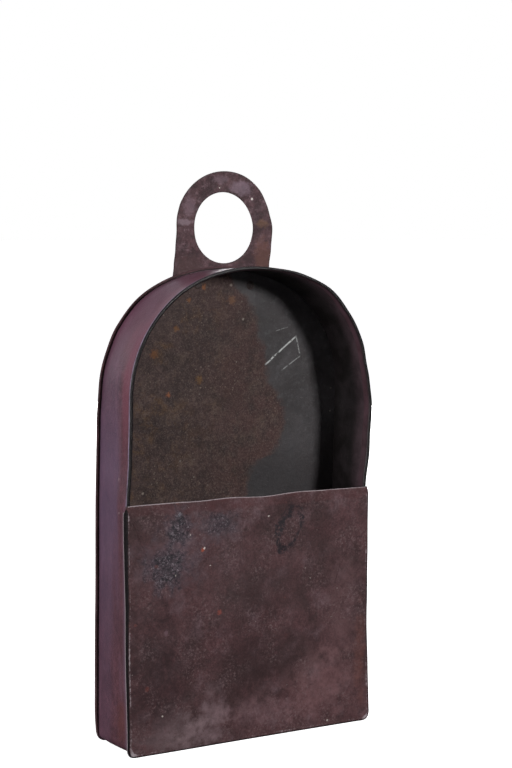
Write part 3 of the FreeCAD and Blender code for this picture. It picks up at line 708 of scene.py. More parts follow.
# centre, size, strength and shade of the marks on the tab
TAB_MARKS = (
    ((0.013, 0, 0.402), (0.012, 1, 0.007), 0.5, tone(126, 106, 118)),
    ((-0.004, 0, 0.408), (0.008, 1, 0.004), 0.35, tone(118, 98, 108)),
    ((-0.034, 0, 0.377), (0.010, 1, 0.0030), 0.6, tone(122, 104, 112)),
    ((-0.030, 0, 0.388), (0.007, 1, 0.010), 0.4, tone(118, 96, 106)),
    ((0.032, 0, 0.376), (0.007, 1, 0.004), 0.4, tone(112, 82, 56)),
    ((0.033, 0, 0.352), (0.010, 1, 0.018), 0.5, tone(96, 62, 52)),
    ((-0.030, 0, 0.345), (0.014, 1, 0.012), 0.55, tone(68, 46, 46)),
    ((0.0229, 0, 0.3943), (0.0013, 1, 0.0013), 0.9, tone(210, 200, 196)),
)
for centre, size, strength, shade in TAB_MARKS:
    mark_spot = use(tree, patch, Vector=where, Centre=centre, Size=size, Grain=260.0, Raggedness=1.5,
                    Softness=0.6)
    colour = lay(tree, colour, shade, mark_spot.outputs["Mask"], strength)
drawn = put(tree, "ShaderNodeMapping", {"Vector": where, "Scale": (0.12, 1.0, 1.0)}).outputs[0]
wiped = step(tree, cloud(tree, drawn, 260.0, 3.0, 0.6), 0.5, 0.75)
colour = lay(tree, colour, tone(58, 40, 42), wiped, 0.35)
pale = use(tree, specks, Vector=where, Scale=240.0, Share=0.06, Size=0.2, Softness=0.07)
colour = lay(tree, colour, CHIP, pale.outputs["Mask"])
colour = lay(tree, colour, tone(48, 32, 34), attribute(tree, "grime_and_shade"))
wear = use(tree, edge_wear, Vector=where, Edge=attribute(tree, "wear_and_highlight"), Strength=0.5)
colour = lay(tree, colour, tone(118, 100, 108), wear.outputs["Mask"])
finish_surface(tree, surface, colour, paint.outputs["Roughness"])
bump(tree, surface, paint.outputs["Height"], 0.00012)
print("material:", tab_paint.name)

# %% [markdown]
# ## Finishes inside the pocket
# The rivets were painted with the box and then rubbed. The drip pan and socket are tinplate gone dull,
# with rust where the tin has failed and soot near the flame. Wax lets light in, so it has a little
# subsurface scattering, and the wick is cotton with a charred end.

# %% Material: rivets
rivet_paint, tree, surface, where = new_material("rubbed_rivet_iron", Specular_IOR_Level=0.2)
paint = use(tree, old_paint, Vector=where, Paint=tone(54, 42, 40), Faded=tone(72, 60, 56),
            Dark=tone(38, 29, 28), Cloud_Scale=300.0, Grain_Scale=1500.0, Roughness=0.5)
spots = use(tree, specks, Vector=where, Scale=700.0, Share=0.25, Size=0.4, Softness=0.25)
colour = lay(tree, paint.outputs["Color"], RUST, spots.outputs["Mask"], 0.45)
finish_surface(tree, surface, colour, paint.outputs["Roughness"])
bump(tree, surface, paint.outputs["Height"], 0.0001)

# %% Material: tinplate
tinplate, tree, surface, where = new_material("dull_tinplate")
paint = use(tree, old_paint, Vector=where, Paint=tone(128, 124, 118), Faded=tone(160, 157, 150),
            Dark=tone(96, 90, 84), Cloud_Scale=90.0, Grain_Scale=900.0, Roughness=0.38, Gloss_Change=0.3)
failing = step(tree, cloud(tree, where, 120.0, 6.0, 0.7, 0.5), 0.55, 0.68)
colour = lay(tree, paint.outputs["Color"], tone(96, 60, 40), failing, 0.8)
rust_spots = use(tree, specks, Vector=where, Scale=420.0, Share=0.3, Size=0.35, Softness=0.2)
colour = lay(tree, colour, tone(84, 48, 30), rust_spots.outputs["Mask"], 0.8)
fallen = use(tree, dust, Vector=where, Amount=0.4)
colour = lay(tree, colour, DUST, fallen.outputs["Mask"])
finish_surface(tree, surface, colour, calc(tree, "MULTIPLY_ADD", failing, 0.3, paint.outputs["Roughness"]))
tree.links.new(step(tree, failing, 0.0, 1.0, 0.85, 0.1), surface.inputs["Metallic"])
bump(tree, surface, calc(tree, "MULTIPLY_ADD", failing, 1.5, paint.outputs["Height"]), 0.0001)

# %% Material: candle wax
wax, tree, surface, where = new_material("old_candle_wax", Subsurface_Weight=0.35, Subsurface_Scale=0.004)
surface.inputs["Subsurface Radius"].default_value = (1.0, 0.7, 0.45)
paint = use(tree, old_paint, Vector=where, Paint=tone(220, 208, 182), Faded=tone(230, 222, 204),
            Dark=tone(212, 198, 170), Cloud_Scale=60.0, Grain_Scale=1800.0, Mottle=0.03, Roughness=0.42)
sooty = use(tree, patch, Vector=where, Centre=(0, -0.0005, 0.1215), Size=(0.0075, 0.0075, 0.004), Grain=600.0,
            Raggedness=0.8, Softness=0.8)
colour = lay(tree, paint.outputs["Color"], tone(70, 58, 48), sooty.outputs["Mask"], 0.7)
fallen = use(tree, dust, Vector=where, Amount=0.5)
colour = lay(tree, colour, tone(168, 152, 128), fallen.outputs["Mask"])
finish_surface(tree, surface, colour, paint.outputs["Roughness"])
bump(tree, surface, paint.outputs["Height"], 0.00012)

# %% Material: wick
cotton, tree, surface, where = new_material("charred_cotton", Sheen_Weight=0.3, Sheen_Roughness=0.5)
height = axis_of(tree, where, "Z")
drawn = put(tree, "ShaderNodeMapping", {"Vector": where, "Scale": (1, 1, 0.3)}).outputs[0]
fibres = cloud(tree, drawn, 3000.0, 3.0)
clean = blend(tree, fibres, tone(170, 156, 132), tone(214, 202, 178))
burnt_line = calc(tree, "MULTIPLY_ADD", sway(tree, where, 700.0), 0.003, height)
colour = blend(tree, step(tree, burnt_line, 0.121, 0.1245), clean, tone(22, 19, 18))
finish_surface(tree, surface, colour, step(tree, fibres, 0.2, 0.8, 0.8, 0.95))
bump(tree, surface, fibres, 0.0001)
print("materials:", len(bpy.data.materials))

# %% [markdown]
# ## The pattern of the box
# Back plate, band and panel all follow one outline: straight sides, two shoulder arcs and a flatter crown
# arc. Each point of the outline carries its outward direction, so the same walk gives every line that
# runs beside it, such as the edge of a seam, by stepping outwards.

# %% The arched outline
def run_of_line(start, end, outward, steps):
    share = np.arange(steps)[:, None] / steps
    spots = np.array(start) + share * (np.array(end) - np.array(start))
    return np.hstack([spots, np.tile(outward, (steps, 1))])


def run_of_arc(centre, radius, first, last, steps):
    turn = np.radians(first + np.arange(steps) / steps * (last - first))
    away = np.column_stack([np.cos(turn), np.sin(turn)])
    return np.hstack([np.array(centre) + radius * away, away])


REACH = math.hypot(SHOULDER_INSET, CROWN_DROP)
SHOULDER = HALF - SHOULDER_INSET
CROWN = SHOULDER + REACH
TURN = math.degrees(math.atan2(CROWN_DROP, SHOULDER_INSET))
ARCH_TOP = SPRING - CROWN_DROP + CROWN


def right_half(top):
    """From the middle of the floor round the corner and up the right side to top: x, z and outward x, z."""
    knee = HALF - CORNER
    return np.vstack([
        run_of_line((0, SEAM_OUT), (knee, SEAM_OUT), (0, -1), 50),
        run_of_arc((knee, SEAM_OUT + CORNER), CORNER, -90, 0, 10),
        run_of_line((HALF, SEAM_OUT + CORNER), (HALF, top), (1, 0), round((top - SEAM_OUT - CORNER) / 2)),
    ])


def mirrored(half):
    """The same walk back down on the left side, without the walk's first point."""
    return (half[::-1] * (-1, 1, -1, 1))[:-1]


half_arch = np.vstack([
    right_half(SPRING),
    run_of_arc((SHOULDER_INSET, SPRING), SHOULDER, 0, TURN, 54),
    run_of_arc((0, SPRING - CROWN_DROP), CROWN, TURN, 90, 24),
])
box_outline = np.vstack([half_arch, [[0, ARCH_TOP, 0, 1]], mirrored(half_arch)])
print(f"outline: {len(box_outline)} points, top of the arch {ARCH_TOP:.1f}")

# %% [markdown]
# ## Bent sections
# Across a seam or a hem the sheet follows a bent line. It is laid out as on paper, with sharp corners and
# a bending radius at each, and the helper rounds the corners. The line is the middle of the sheet: the
# Solidify modifier gives it the thickness afterwards, so a fold is one sheet, as it is in iron.

# %% Rounded section lines
def bent_line(corners, radii, straights, bends=7):
    """Points along a bent line; straights gives how many steps each straight part has."""
    corners = [np.array(corner, float) for corner in corners]
    points = [corners[0]]
    for place in range(1, len(corners)):
        target = corners[place]
        along = target - corners[place - 1]
        along /= np.linalg.norm(along)
        last = place == len(corners) - 1
        if not last:
            onward = corners[place + 1] - target
            onward /= np.linalg.norm(onward)
            setback = radii[place - 1] * math.tan(math.acos(np.clip(along @ onward, -1, 1)) / 2)
            stop = target - along * setback
        else:
            stop = target
        start = points[-1]
        for count in range(1, straights[place - 1] + 1):
            points.append(start + (stop - start) * count / straights[place - 1])
        if not last:
            go = target + onward * setback
            for count in range(1, bends + 1):
                share = count / bends
                points.append((1 - share) ** 2 * stop + 2 * share * (1 - share) * target + share ** 2 * go)
    return np.array(points)


print("bend test:", bent_line([(0, 0), (4, 0), (4, 4)], [1], [1, 1]).round(2)[-1])

# %% [markdown]
# ## How the box has bent
# A hand-folded box is never true. Its front is racked sideways at the foot, the crown is pushed up in front
# and down behind, and the sides bulge where they were gripped. One field of small moves is shared by all
# the sheets, so pieces that touch keep touching. It starts from nothing at the wall and grows to the front.

# %% The bending field
def eased(at, knots, values):
    """Values at knots, joined by smooth steps."""
    at = np.clip(at, knots[0], knots[-1])
    place = np.clip(np.searchsorted(knots, at, side="right") - 1, 0, len(knots) - 2)
    knots, values = np.array(knots, float), np.array(values, float)
    share = (at - knots[place]) / (knots[place + 1] - knots[place])
    share = share * share * (3 - 2 * share)
    return values[place] + share * (values[place + 1] - values[place])


RIPPLE_WAVES = 14


def ripple(points, wave, seed):
    """A smooth random swell, about -1 to 1, with waves of about that length in millimetres."""
    draws = np.random.default_rng(seed)
    total = np.zeros(len(points))
    for _ in range(RIPPLE_WAVES):
        heading = draws.normal(size=3)
        heading *= 2 * math.pi / (wave * draws.uniform(0.7, 1.5)) / np.linalg.norm(heading)
        total += np.sin(points @ heading + draws.uniform(0, 2 * math.pi))
    return total / math.sqrt(RIPPLE_WAVES)


SIDE_HEIGHTS = [0, 90, 181, 212, 240, 275, 345]
LEFT_SHIFT = [3.9, 1.3, -1.2, 0.2, 0.6, 0.6, 0.6]
RIGHT_SHIFT = [3.9, 1.3, -1.2, 1.6, 3.0, 1.0, 0.6]
DENT_HEIGHTS = [0, 40, 80, 110, 140, 181, 205, 240, 262, 275, 290, 310, 326, 338, 347]
FRONT_DENTS = [1.4, 0.6, -0.2, -0.1, 0.6, 1.1, 1.5, 1.2, -0.3, -0.9, 0.3, 0.9, 2.3, 0.9, -0.9]
REAR_HEIGHTS = [0, 30, 100, 180, 235, 262, 285, 305, 325, 338, 347]
REAR_BULGE = [0.3, 0.7, 0.9, 1.3, 1.0, -0.5, -0.8, 0.4, 1.4, 0.8, 0]
FRONT_LIFT, REAR_LIFT = 2.35, -2.2


def hand_bent(points):
    """Moves points, in millimetres, as the used box has bent."""
    across, deep, high = points.T
    forward = np.clip((REAR - deep) / (REAR - FRONT), 0, 1)
    right = np.clip(across / HALF / 2 + 0.5, 0, 1)
    left_move = eased(high, SIDE_HEIGHTS, LEFT_SHIFT)
    right_move = eased(high, SIDE_HEIGHTS, RIGHT_SHIFT)
    crowned = eased(high, [SPRING, ARCH_TOP], [0, 1])
    away = np.column_stack([across, np.maximum(high - SPRING, 0)])
    away /= np.maximum(np.hypot(away[:, 0], away[:, 1]), 1)[:, None]
    edge_share = np.clip(np.hypot(across, np.maximum(high - SPRING, 0)) / 40 - 1, 0, 1)
    dents = np.clip(across / 20, 0, 1) * forward ** 2 * eased(high, DENT_HEIGHTS, FRONT_DENTS)
    dents += np.clip(-across / 20, 0, 1) * (1 - forward) ** 2 * eased(high, REAR_HEIGHTS, REAR_BULGE)
    moved = points.copy()
    moved[:, 0] += forward * (left_move + right * (right_move - left_move)) + dents * away[:, 0] * edge_share
    rise = REAR_LIFT + forward * (FRONT_LIFT - REAR_LIFT)
    moved[:, 2] += crowned * rise + dents * away[:, 1] * edge_share
    moved[:, 1] += 0.25 * ripple(points, 90, 11)
    return moved


print("front foot moves", hand_bent(np.array([[0.0, FRONT, 0.0]])).round(2)[0] - [0, FRONT, 0])

# %% [markdown]
# ## Helpers for meshes
# A piece is built true, gets its thickness, is marked for its wear and painted highlights, its grime and
# painted shade, and its inside, and is bent last.
# Marking before bending keeps the rules for the marks simple, because the straight pattern still holds.

# %% Mesh helpers
def new_piece(name, points, faces, material):
    """A new object from points in millimetres."""
    mesh = bpy.data.meshes.new(name)
    mesh.from_pydata((np.asarray(points) * MM).tolist(), [], [list(map(int, face)) for face in faces])
    mesh.materials.append(material)
    piece = bpy.data.objects.new(name, mesh)
    bpy.context.scene.collection.objects.link(piece)
    return piece


WELD_GAP = 0.004          # points nearer than this are one point


def weld(mesh):
    """Closes seams and poles, drops flat faces and turns every face outwards."""
    shell = bmesh.new()
    shell.from_mesh(mesh)
    bmesh.ops.remove_doubles(shell, verts=shell.verts, dist=WELD_GAP * MM)
    bmesh.ops.dissolve_degenerate(shell, edges=shell.edges, dist=WELD_GAP * MM / 4)
    bmesh.ops.recalc_face_normals(shell, faces=shell.faces)
    shell.to_mesh(mesh)
    shell.free()


def settle(piece):
    """Replaces a piece's mesh by what its modifiers make of it, and removes them."""
    depsgraph = bpy.context.evaluated_depsgraph_get()
    plain = bpy.data.meshes.new_from_object(piece.evaluated_get(depsgraph))
    piece.modifiers.clear()
    piece.data = plain
    weld(plain)
    return piece


def thicken(piece, thickness):
    """Gives a sheet its thickness, half to each side."""
    weld(piece.data)
    solid = piece.modifiers.new("thickness", "SOLIDIFY")
    solid.thickness = thickness * MM
    solid.offset = 0
    return settle(piece)


def points_of(piece):
    spots = np.empty(len(piece.data.vertices) * 3)
    piece.data.vertices.foreach_get("co", spots)
    return spots.reshape(-1, 3) / MM


def reshape(piece, points):
    piece.data.vertices.foreach_set("co", (points * MM).ravel())
    piece.data.update()


def mark(piece, name, values):
    """Stores a value from 0 to 1 at every point of a piece."""
    layer = piece.data.attributes.new(name, "FLOAT", "POINT")
    layer.data.foreach_set("value", np.clip(values, 0, 1).astype(np.float32))


def near(distance, width):
    """1 on a line, falling to 0 a few widths away."""
    return np.exp(-((distance / width) ** 2))


def smooth(piece, angle=38):
    piece.data.shade_smooth()
    piece.data.set_sharp_from_angle(angle=math.radians(angle))


def place_piece(piece, body, slot, *nodes):
    """The last step for a piece: it rides on a body and stands for its frame nodes."""
    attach(piece, body)
    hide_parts(*nodes)
    low, high = points_of(piece).min(0), points_of(piece).max(0)
    print(f"{piece.name}: {len(piece.data.polygons)} faces, {low.round(1)} to {high.round(1)} mm")


def beyond(points):
    """How far points lie outside the band's outer face, in millimetres; less than 0 inside."""
    across, high = np.abs(points[:, 0]), points[:, 2]
    knee = np.array([HALF - CORNER, SEAM_OUT + CORNER])
    off = np.column_stack([across - knee[0], knee[1] - high])
    outside = np.hypot(np.maximum(off[:, 0], 0), np.maximum(off[:, 1], 0)) + np.minimum(off.max(1), 0)
    straight = outside - CORNER
    on_crown = np.degrees(np.arctan2(high - SPRING, across - SHOULDER_INSET)) > TURN
    arched = np.where(
        on_crown,
        np.hypot(across, high - SPRING + CROWN_DROP) - CROWN,
        np.hypot(across - SHOULDER_INSET, high - SPRING) - SHOULDER,
    )
    return np.where(high > SPRING, arched, straight)


print("middle of the panel is", beyond(np.array([[0.0, 0.0, 90.0]])).round(1)[0], "beyond the band")

# %% [markdown]
# ## Sheets with a folded rim
# The back plate and the panel are flat sheets whose edges are folded round the band's flanges. One way is
# to extrude an outline again and again by hand. Here the walk round the outline meets the bent section:
# at every point of the walk the whole section is laid down, and rings that shrink towards a line in the
# middle fill the flat part, so the mesh is even enough to be dented.

# %% Helper: a sheet from an outline and its sections
def folded_sheet(walk, sections, middle, rings, power=1.25):
    """Points and faces of a sheet. walk has x, z and outward x, z for each point of the outline, sections
    its section lines as (outwards, y) from the flat part's rim to the edge, and middle where each
    point's rings shrink to."""
    base, outward = walk[:, :2], walk[:, 2:]
    count, depth = sections.shape[:2]
    loops = []
    rim = base + outward * sections[:, 0, :1]
    for ring in range(rings):
        share = (ring / rings) ** (1 / power)
        flat = middle + (rim - middle) * share
        loops.append(np.column_stack([flat[:, 0], sections[:, 0, 1], flat[:, 1]]))
    for place in range(depth):
        spot = base + outward * sections[:, place, :1]
        loops.append(np.column_stack([spot[:, 0], sections[:, place, 1], spot[:, 1]]))
    points = np.vstack(loops)
    faces = []
    for loop in range(len(loops) - 1):
        first, second = loop * count, (loop + 1) * count
        for place in range(count):
            after = (place + 1) % count
            faces.append((first + place, first + after, second + after, second + place))
    return points, faces


print("sheet helper ready")

# %% [markdown]
# ## Back plate
# The fold goes forward round the band's rear flange and hooks over it. Its face inside the box, its face
# to the wall and its fold get different marks.

# %% Back plate
PLATE_MIDDLE = REAR - SHEET / 2
HOOK_MIDDLE = PLATE_MIDDLE - 2 * SHEET
rear_fold = bent_line(
    [(-2, PLATE_MIDDLE), (SEAM_OUT - SHEET / 2, PLATE_MIDDLE), (SEAM_OUT - SHEET / 2, HOOK_MIDDLE),
     (0.25, HOOK_MIDDLE)],
    [0.78, 0.78], [3, 1, 2], 8)
middle = np.column_stack([np.zeros(len(box_outline)), np.clip(box_outline[:, 1], 95, 250)])
plate = new_piece(
    "back_plate_skin",
    *folded_sheet(box_outline, np.tile(rear_fold, (len(box_outline), 1, 1)), middle, 42),
    back_paint,
)
thicken(plate, SHEET)
spots = points_of(plate)
out, deep = beyond(spots), spots[:, 1]
low_corner = near(np.hypot(np.abs(spots[:, 0]) - HALF, spots[:, 2]), 14)
mark(plate, "inside", (out < 0.3) & (deep < PLATE_MIDDLE))
mark(plate, "wear_and_highlight", near(np.hypot(out - 2.2, deep - HOOK_MIDDLE), 0.55) * 0.9)
# grime and painted shade in the groove beside the seam's lip
mark(plate, "grime_and_shade", near(out - 0.5, 0.9) * (deep < HOOK_MIDDLE + 0.2) * 0.9)
spots[:, 1] += 0.5 * ripple(spots, 70, 3) * np.clip(-out / 12, 0, 1)
spots[:, 0] -= np.sign(spots[:, 0]) * 1.3 * low_corner * np.clip(out / SEAM_OUT, 0, 1)
spots[:, 2] += 1.5 * low_corner * np.clip(out / SEAM_OUT, 0, 1)
reshape(plate, hand_bent(spots))
smooth(plate)
place_piece(plate, "lantern", "back_sheet", "back_plate")

# %% [markdown]
# ## Side band
# One strip runs round the floor, up the sides and over the arch, and its ends lap on the floor. It is a
# section that follows a path, which is exactly what the Curve to Mesh node does. Round the arch the
# front edge is turned in as a loose hem, and round the pocket it is flanged out for the panel's fold, so
# there are two sections, and the path is cut into runs that say which one they take.

# %% Geometry nodes: a strip swept along a path
strip_tree, given, made = new_group(
    "swept strip",
    {"Path": ("Geometry", None), "Rim Section": ("Object", None), "Pocket Section": ("Object", None),
     "Weld": ("Float", 0.00001), "Paint": ("Material", None)},
    {"Strip": ("Geometry", None)},
    "GeometryNodeTree",
)
run_number = put(strip_tree, "GeometryNodeInputNamedAttribute", {"Name": "run"}, data_type="INT").outputs[0]
order = put(strip_tree, "GeometryNodeInputIndex").outputs[0]
spots_only = put(strip_tree, "GeometryNodeMeshToPoints", {"Mesh": given.outputs["Path"]}).outputs[0]
on_arch = put(strip_tree, "FunctionNodeCompare", {2: run_number, 3: 1}, data_type="INT",
              operation="EQUAL").outputs[0]
parted = put(strip_tree, "GeometryNodeSeparateGeometry", {"Geometry": spots_only, "Selection": on_arch})
sweeps = []
for label, run_spots in (("Rim Section", parted.outputs[0]), ("Pocket Section", parted.outputs[1])):
    line = put(strip_tree, "GeometryNodePointsToCurves",
               {"Points": run_spots, "Curve Group ID": run_number, "Weight": order}).outputs[0]
    line = put(strip_tree, "GeometryNodeCurveSplineType", {"Curve": line}, spline_type="POLY").outputs[0]
    line = put(strip_tree, "GeometryNodeSetCurveNormal", {"Curve": line, "Normal": (0, -1, 0)},
               mode="FREE").outputs[0]
    drawn = put(strip_tree, "GeometryNodeObjectInfo", {"Object": given.outputs[label]}).outputs["Geometry"]
    section = put(strip_tree, "GeometryNodeMeshToCurve", {"Mesh": drawn}).outputs[0]
    sweeps.append(put(strip_tree, "GeometryNodeCurveToMesh",
                      {"Curve": line, "Profile Curve": section}).outputs[0])
joined = strip_tree.nodes.new("GeometryNodeJoinGeometry")
for sweep in sweeps:
    strip_tree.links.new(sweep, joined.inputs[0])
welded = put(strip_tree, "GeometryNodeMergeByDistance", {"Geometry": joined.outputs[0],
                                                         "Distance": given.outputs["Weld"]})
real = put(strip_tree, "GeometryNodeRealizeInstances", {"Geometry": welded.outputs[0]})
painted = put(strip_tree, "GeometryNodeSetMaterial", {"Geometry": real.outputs[0],
                                                      "Material": given.outputs["Paint"]})
strip_tree.links.new(painted.outputs[0], made.inputs["Strip"])


def fill_inputs(modifier, tree, **values):
    """Sets a Geometry Nodes modifier's inputs by their sockets' identifiers."""
    for item in tree.interface.items_tree:
        name = item.name.replace(" ", "_")
        if item.item_type == "SOCKET" and item.in_out == "INPUT" and name in values:
            modifier[item.identifier] = values[name]


print("tree:", strip_tree.name, len(strip_tree.nodes), "nodes")

# %% The strip's path and sections
LAP_LEFT, LAP_RIGHT = 53, 67          # the strip's lapped ends on the floor
JOGGLE = 6                            # length of the step up onto the lap
HEM = 7                               # width of the turned-in hem
HEM_LOOSE = 1.2                       # air between the hem and the band
flange_middle = REAR - SHEET * 1.5

count = len(box_outline)
start = int(np.argmin(np.abs(box_outline[:, 0] - LAP_LEFT) + box_outline[:, 1]))
turn_right = next(i for i in range(count) if box_outline[i, 0] > 0 and box_outline[i, 1] > PANEL_TOP)
turn_left = next(i for i in range(count - 1, 0,
                                  -1) if box_outline[i, 0] < 0 and box_outline[i, 1] > PANEL_TOP)
first_run = box_outline[start:turn_right + 1, :2]
arch_run = box_outline[turn_right:turn_left + 1, :2]
lap_end = [[LAP_RIGHT - 6, SEAM_OUT], [LAP_RIGHT, SEAM_OUT]]
last_run = np.vstack([box_outline[turn_left:, :2], box_outline[:start, :2], lap_end])
on_floor = (last_run[:, 1] < SEAM_OUT + 0.01)
lift = np.where(on_floor, eased(last_run[:, 0], [LAP_LEFT - JOGGLE, LAP_LEFT], [0, SHEET]), 0)
last_run = last_run + np.column_stack([np.zeros(len(last_run)), lift])
path = np.vstack([first_run, arch_run, last_run])
runs = [0] * len(first_run) + [1] * len(arch_run) + [2] * len(last_run)

band = new_piece("side_band_skin", np.column_stack([path[:, 0], np.zeros(len(path)), path[:, 1]]), [],
                 band_paint)
layer = band.data.attributes.new("run", "INT", "POINT")
layer.data.foreach_set("value", runs)


def section_object(name, line):
    """A section line as an object for the tree: X is forwards and Y is outwards."""
    mesh = bpy.data.meshes.new(name)
    mesh.from_pydata([(-y * MM, out * MM, 0) for y, out in line],
                     [(i, i + 1) for i in range(len(line) - 1)], [])
    return bpy.data.objects.new(name, mesh)


skin = -SHEET / 2
inner_skin = skin - SHEET - HEM_LOOSE
rim_line = bent_line(
    [(flange_middle, 1.2), (flange_middle, skin), (BAND_FRONT, skin), (BAND_FRONT, inner_skin),
     (BAND_FRONT + HEM, inner_skin + 0.9)], [0.5, 0.95, 0.95], [2, 26, 1, 6], 7)
pocket_line = bent_line(
    [(flange_middle, 1.2), (flange_middle, skin), (BAND_FRONT + SHEET / 2, skin),
     (BAND_FRONT + SHEET / 2, 1.2)],
    [0.5, 0.45], [2, 26, 2], 6)
rim_section, pocket_section = section_object("rim", rim_line), section_object("pocket", pocket_line)
print(f"rim section {len(rim_line)} points, pocket section {len(pocket_line)}, path {len(path)}")

# %% Side band
strip = band.modifiers.new("strip", "NODES")
strip.node_group = strip_tree
fill_inputs(strip, strip_tree, Rim_Section=rim_section, Pocket_Section=pocket_section, Paint=band_paint)
settle(band)
for helper in (rim_section, pocket_section):
    bpy.data.objects.remove(helper)
thicken(band, SHEET)
spots = points_of(band)
out, deep, high = beyond(spots), spots[:, 1], spots[:, 2]
on_rim = high > PANEL_TOP
turned_in = on_rim & (out < -1.1) & (deep < BAND_FRONT + HEM + 0.8)
# the turned-in hem takes more of the dark inside colour on the right than on the left: painted shade on the
# right hem
hem_share = np.where(turned_in, np.where(spots[:, 0] > 0, 0.8, 0.5), 1)
on_edge = (deep < BAND_FRONT + 0.3) & on_rim
mark(band, "inside", (out < -0.5) * hem_share * ~on_edge)
# lit_share makes the rim's wear mark stronger on the left: painted highlight on the lit side, on top of wear
lit_share = np.clip(0.5 - spots[:, 0] / 120, 0.12, 1)
outer_bend = near(np.hypot(out + 0.05, deep - BAND_FRONT - 0.9), 0.45)
inner_bend = near(np.hypot(out - inner_skin - 0.3, deep - BAND_FRONT - 0.2), 0.35)
mark(band, "wear_and_highlight", on_rim * lit_share * (outer_bend + 0.7 * inner_bend))
# grime and painted shade on the rim's front fold and in the gap of its hem
mark(band, "grime_and_shade", on_rim * near(np.hypot(out + 1.1, (deep - BAND_FRONT) / 0.8), 1.5) * 2.2)
side_swell = 0.5 * ripple(spots * (1, 0.8, 1), 60, 21)
lean = np.clip((deep - BAND_FRONT) / 10, 0, 1) * np.clip((flange_middle - 2 - deep) / 10, 0, 1)
away = spots - np.column_stack([np.zeros(len(spots)), deep, np.clip(high, 60, 230)])
away /= np.maximum(np.linalg.norm(away, axis=1, keepdims=True), 1)
spots += away * (side_swell * lean)[:, None]
reshape(band, hand_bent(spots))
smooth(band)
place_piece(band, "lantern", "painted_sheet", "side_band")

# %% [markdown]
# ## Front panel
# The panel is folded back round the band's front flange at its sides and foot, has a hem turned down behind
# its top edge, and its top corners are clipped. The clipped corners have no fold, so their section is a
# single point. Years of use have left the top edge wavy and the face dented.

# %% Front panel
FACE = FRONT + SHEET / 2
HOOK = BAND_FRONT + SHEET * 1.5
CLIP = 3
front_fold = bent_line(
    [(-2, FACE), (SEAM_OUT - SHEET / 2, FACE), (SEAM_OUT - SHEET / 2, HOOK), (0.3, HOOK)],
    [1.25, 0.3], [3, 1, 2], 8)
top_hem = bent_line(
    [(-2, FACE), (-SHEET / 2, FACE), (-SHEET / 2, FACE + 1.2), (-HEM, FACE + 1.2)],
    [0.6, 0.6], [3, 1, 2], 8)
side_walk = right_half(PANEL_TOP - CLIP)
clip_walk = np.array([
    [HALF + 1.0, PANEL_TOP - CLIP + 0.8, 0.7, 0.7],
    [HALF - 0.6, PANEL_TOP - 0.8, 0.7, 0.7],
])
top_half = run_of_line((HALF - CLIP / 2, PANEL_TOP), (0, PANEL_TOP), (0, 1), 50)
half_panel = np.vstack([side_walk, clip_walk, top_half])
panel_walk = np.vstack([half_panel, [[0, PANEL_TOP, 0, 1]], mirrored(half_panel)])
raw_edge = np.tile([[0.0, FACE]], (len(front_fold), 1))
kinds = [front_fold] * len(side_walk) + [raw_edge] * len(clip_walk) + [top_hem] * len(top_half)
sections = np.array(kinds + [top_hem] + kinds[:0:-1])
middle = np.column_stack([np.clip(panel_walk[:, 0] * 0.7, -65, 65), np.full(len(panel_walk), 92.0)])
panel = new_piece("front_panel_skin", *folded_sheet(panel_walk, sections, middle, 44), panel_paint)
thicken(panel, SHEET)

spots = points_of(panel)
out, deep, high = beyond(spots), spots[:, 1], spots[:, 2]
below = PANEL_TOP - high
mark(panel, "inside", (deep > FACE + 0.1) & (out < 0.1) & (below > 0.8))
outer_side = (deep > FACE + 0.75) & (out > 1.6)
# a dark band of grime and painted shade along the fold, reaching further onto the face high on the left
shaded_grime_reach = np.where(spots[:, 0] < -HALF + 4, eased(high, [4, 60, 120, 170], [-0.6, -0.2, 0.5, 1.1]), -0.5)
grimy_shaded_band = np.clip((out + shaded_grime_reach) / 1.2, 0, 1)
mark(panel, "grime_and_shade", grimy_shaded_band * (below > 1.5) * np.where(outer_side, 0, 1) * (deep < FACE + 2))
# wear and painted highlight: the fold's outer side is marked only on the left, where it catches the light,
# and the top edge more on the left than on the right
mark(panel, "wear_and_highlight", 0.5 * near(np.hypot(out - 2.35, (deep - HOOK) / 1.2), 0.5)
     + 0.6 * near(out + shaded_grime_reach + 0.3, 0.8) * (deep < FACE) * (below > 3)
     + 0.9 * outer_side * (spots[:, 0] < 0) * (below > 2)
     + 0.42 * near(below - 7.8, 0.9) * (deep < FACE)
     + 0.6 * near(np.hypot(np.abs(spots[:, 0]) - HALF + 1, high - 2), 3.0) * (deep < FACE)
     + (0.95 - 0.15 * spots[:, 0] / HALF) * near(np.hypot(below - 0.1, (deep - FACE) / 2), 0.55))
face_share = np.clip(-out / 15, 0, 1)
top_share = near(below, 30)
spots[:, 1] += (0.7 * ripple(spots, 75, 31) + 0.25 * ripple(spots, 25, 32)) * face_share
spots[:, 2] += 0.55 * ripple(spots * (1, 0, 0), 45, 33) * top_share * np.clip(-out / 6 + 0.2, 0, 1)
spots[:, 1] += 0.12 * near(below - HEM, 1.2) * (deep < FACE) * face_share
low_corner = near(np.hypot(np.abs(spots[:, 0]) - HALF - 1, spots[:, 2] - 1), 5) * np.clip(out / 3 + 0.6, 0, 1)
spots[:, 0] += np.sign(spots[:, 0]) * 0.9 * low_corner
spots[:, 2] = np.maximum(spots[:, 2] - 0.9 * low_corner, 0.3)
reshape(panel, hand_bent(spots))
smooth(panel)
place_piece(panel, "lantern", "painted_sheet", "front_panel")

# %% [markdown]
# ## Hanging tab
# The tab is one thick plate with a large round hole. Rings of points between the hole and the outline make
# its mesh, by the same helper: the rings simply stop at the hole. The edges were cut with snips and the
# hole was chiselled, so neither is quite true.

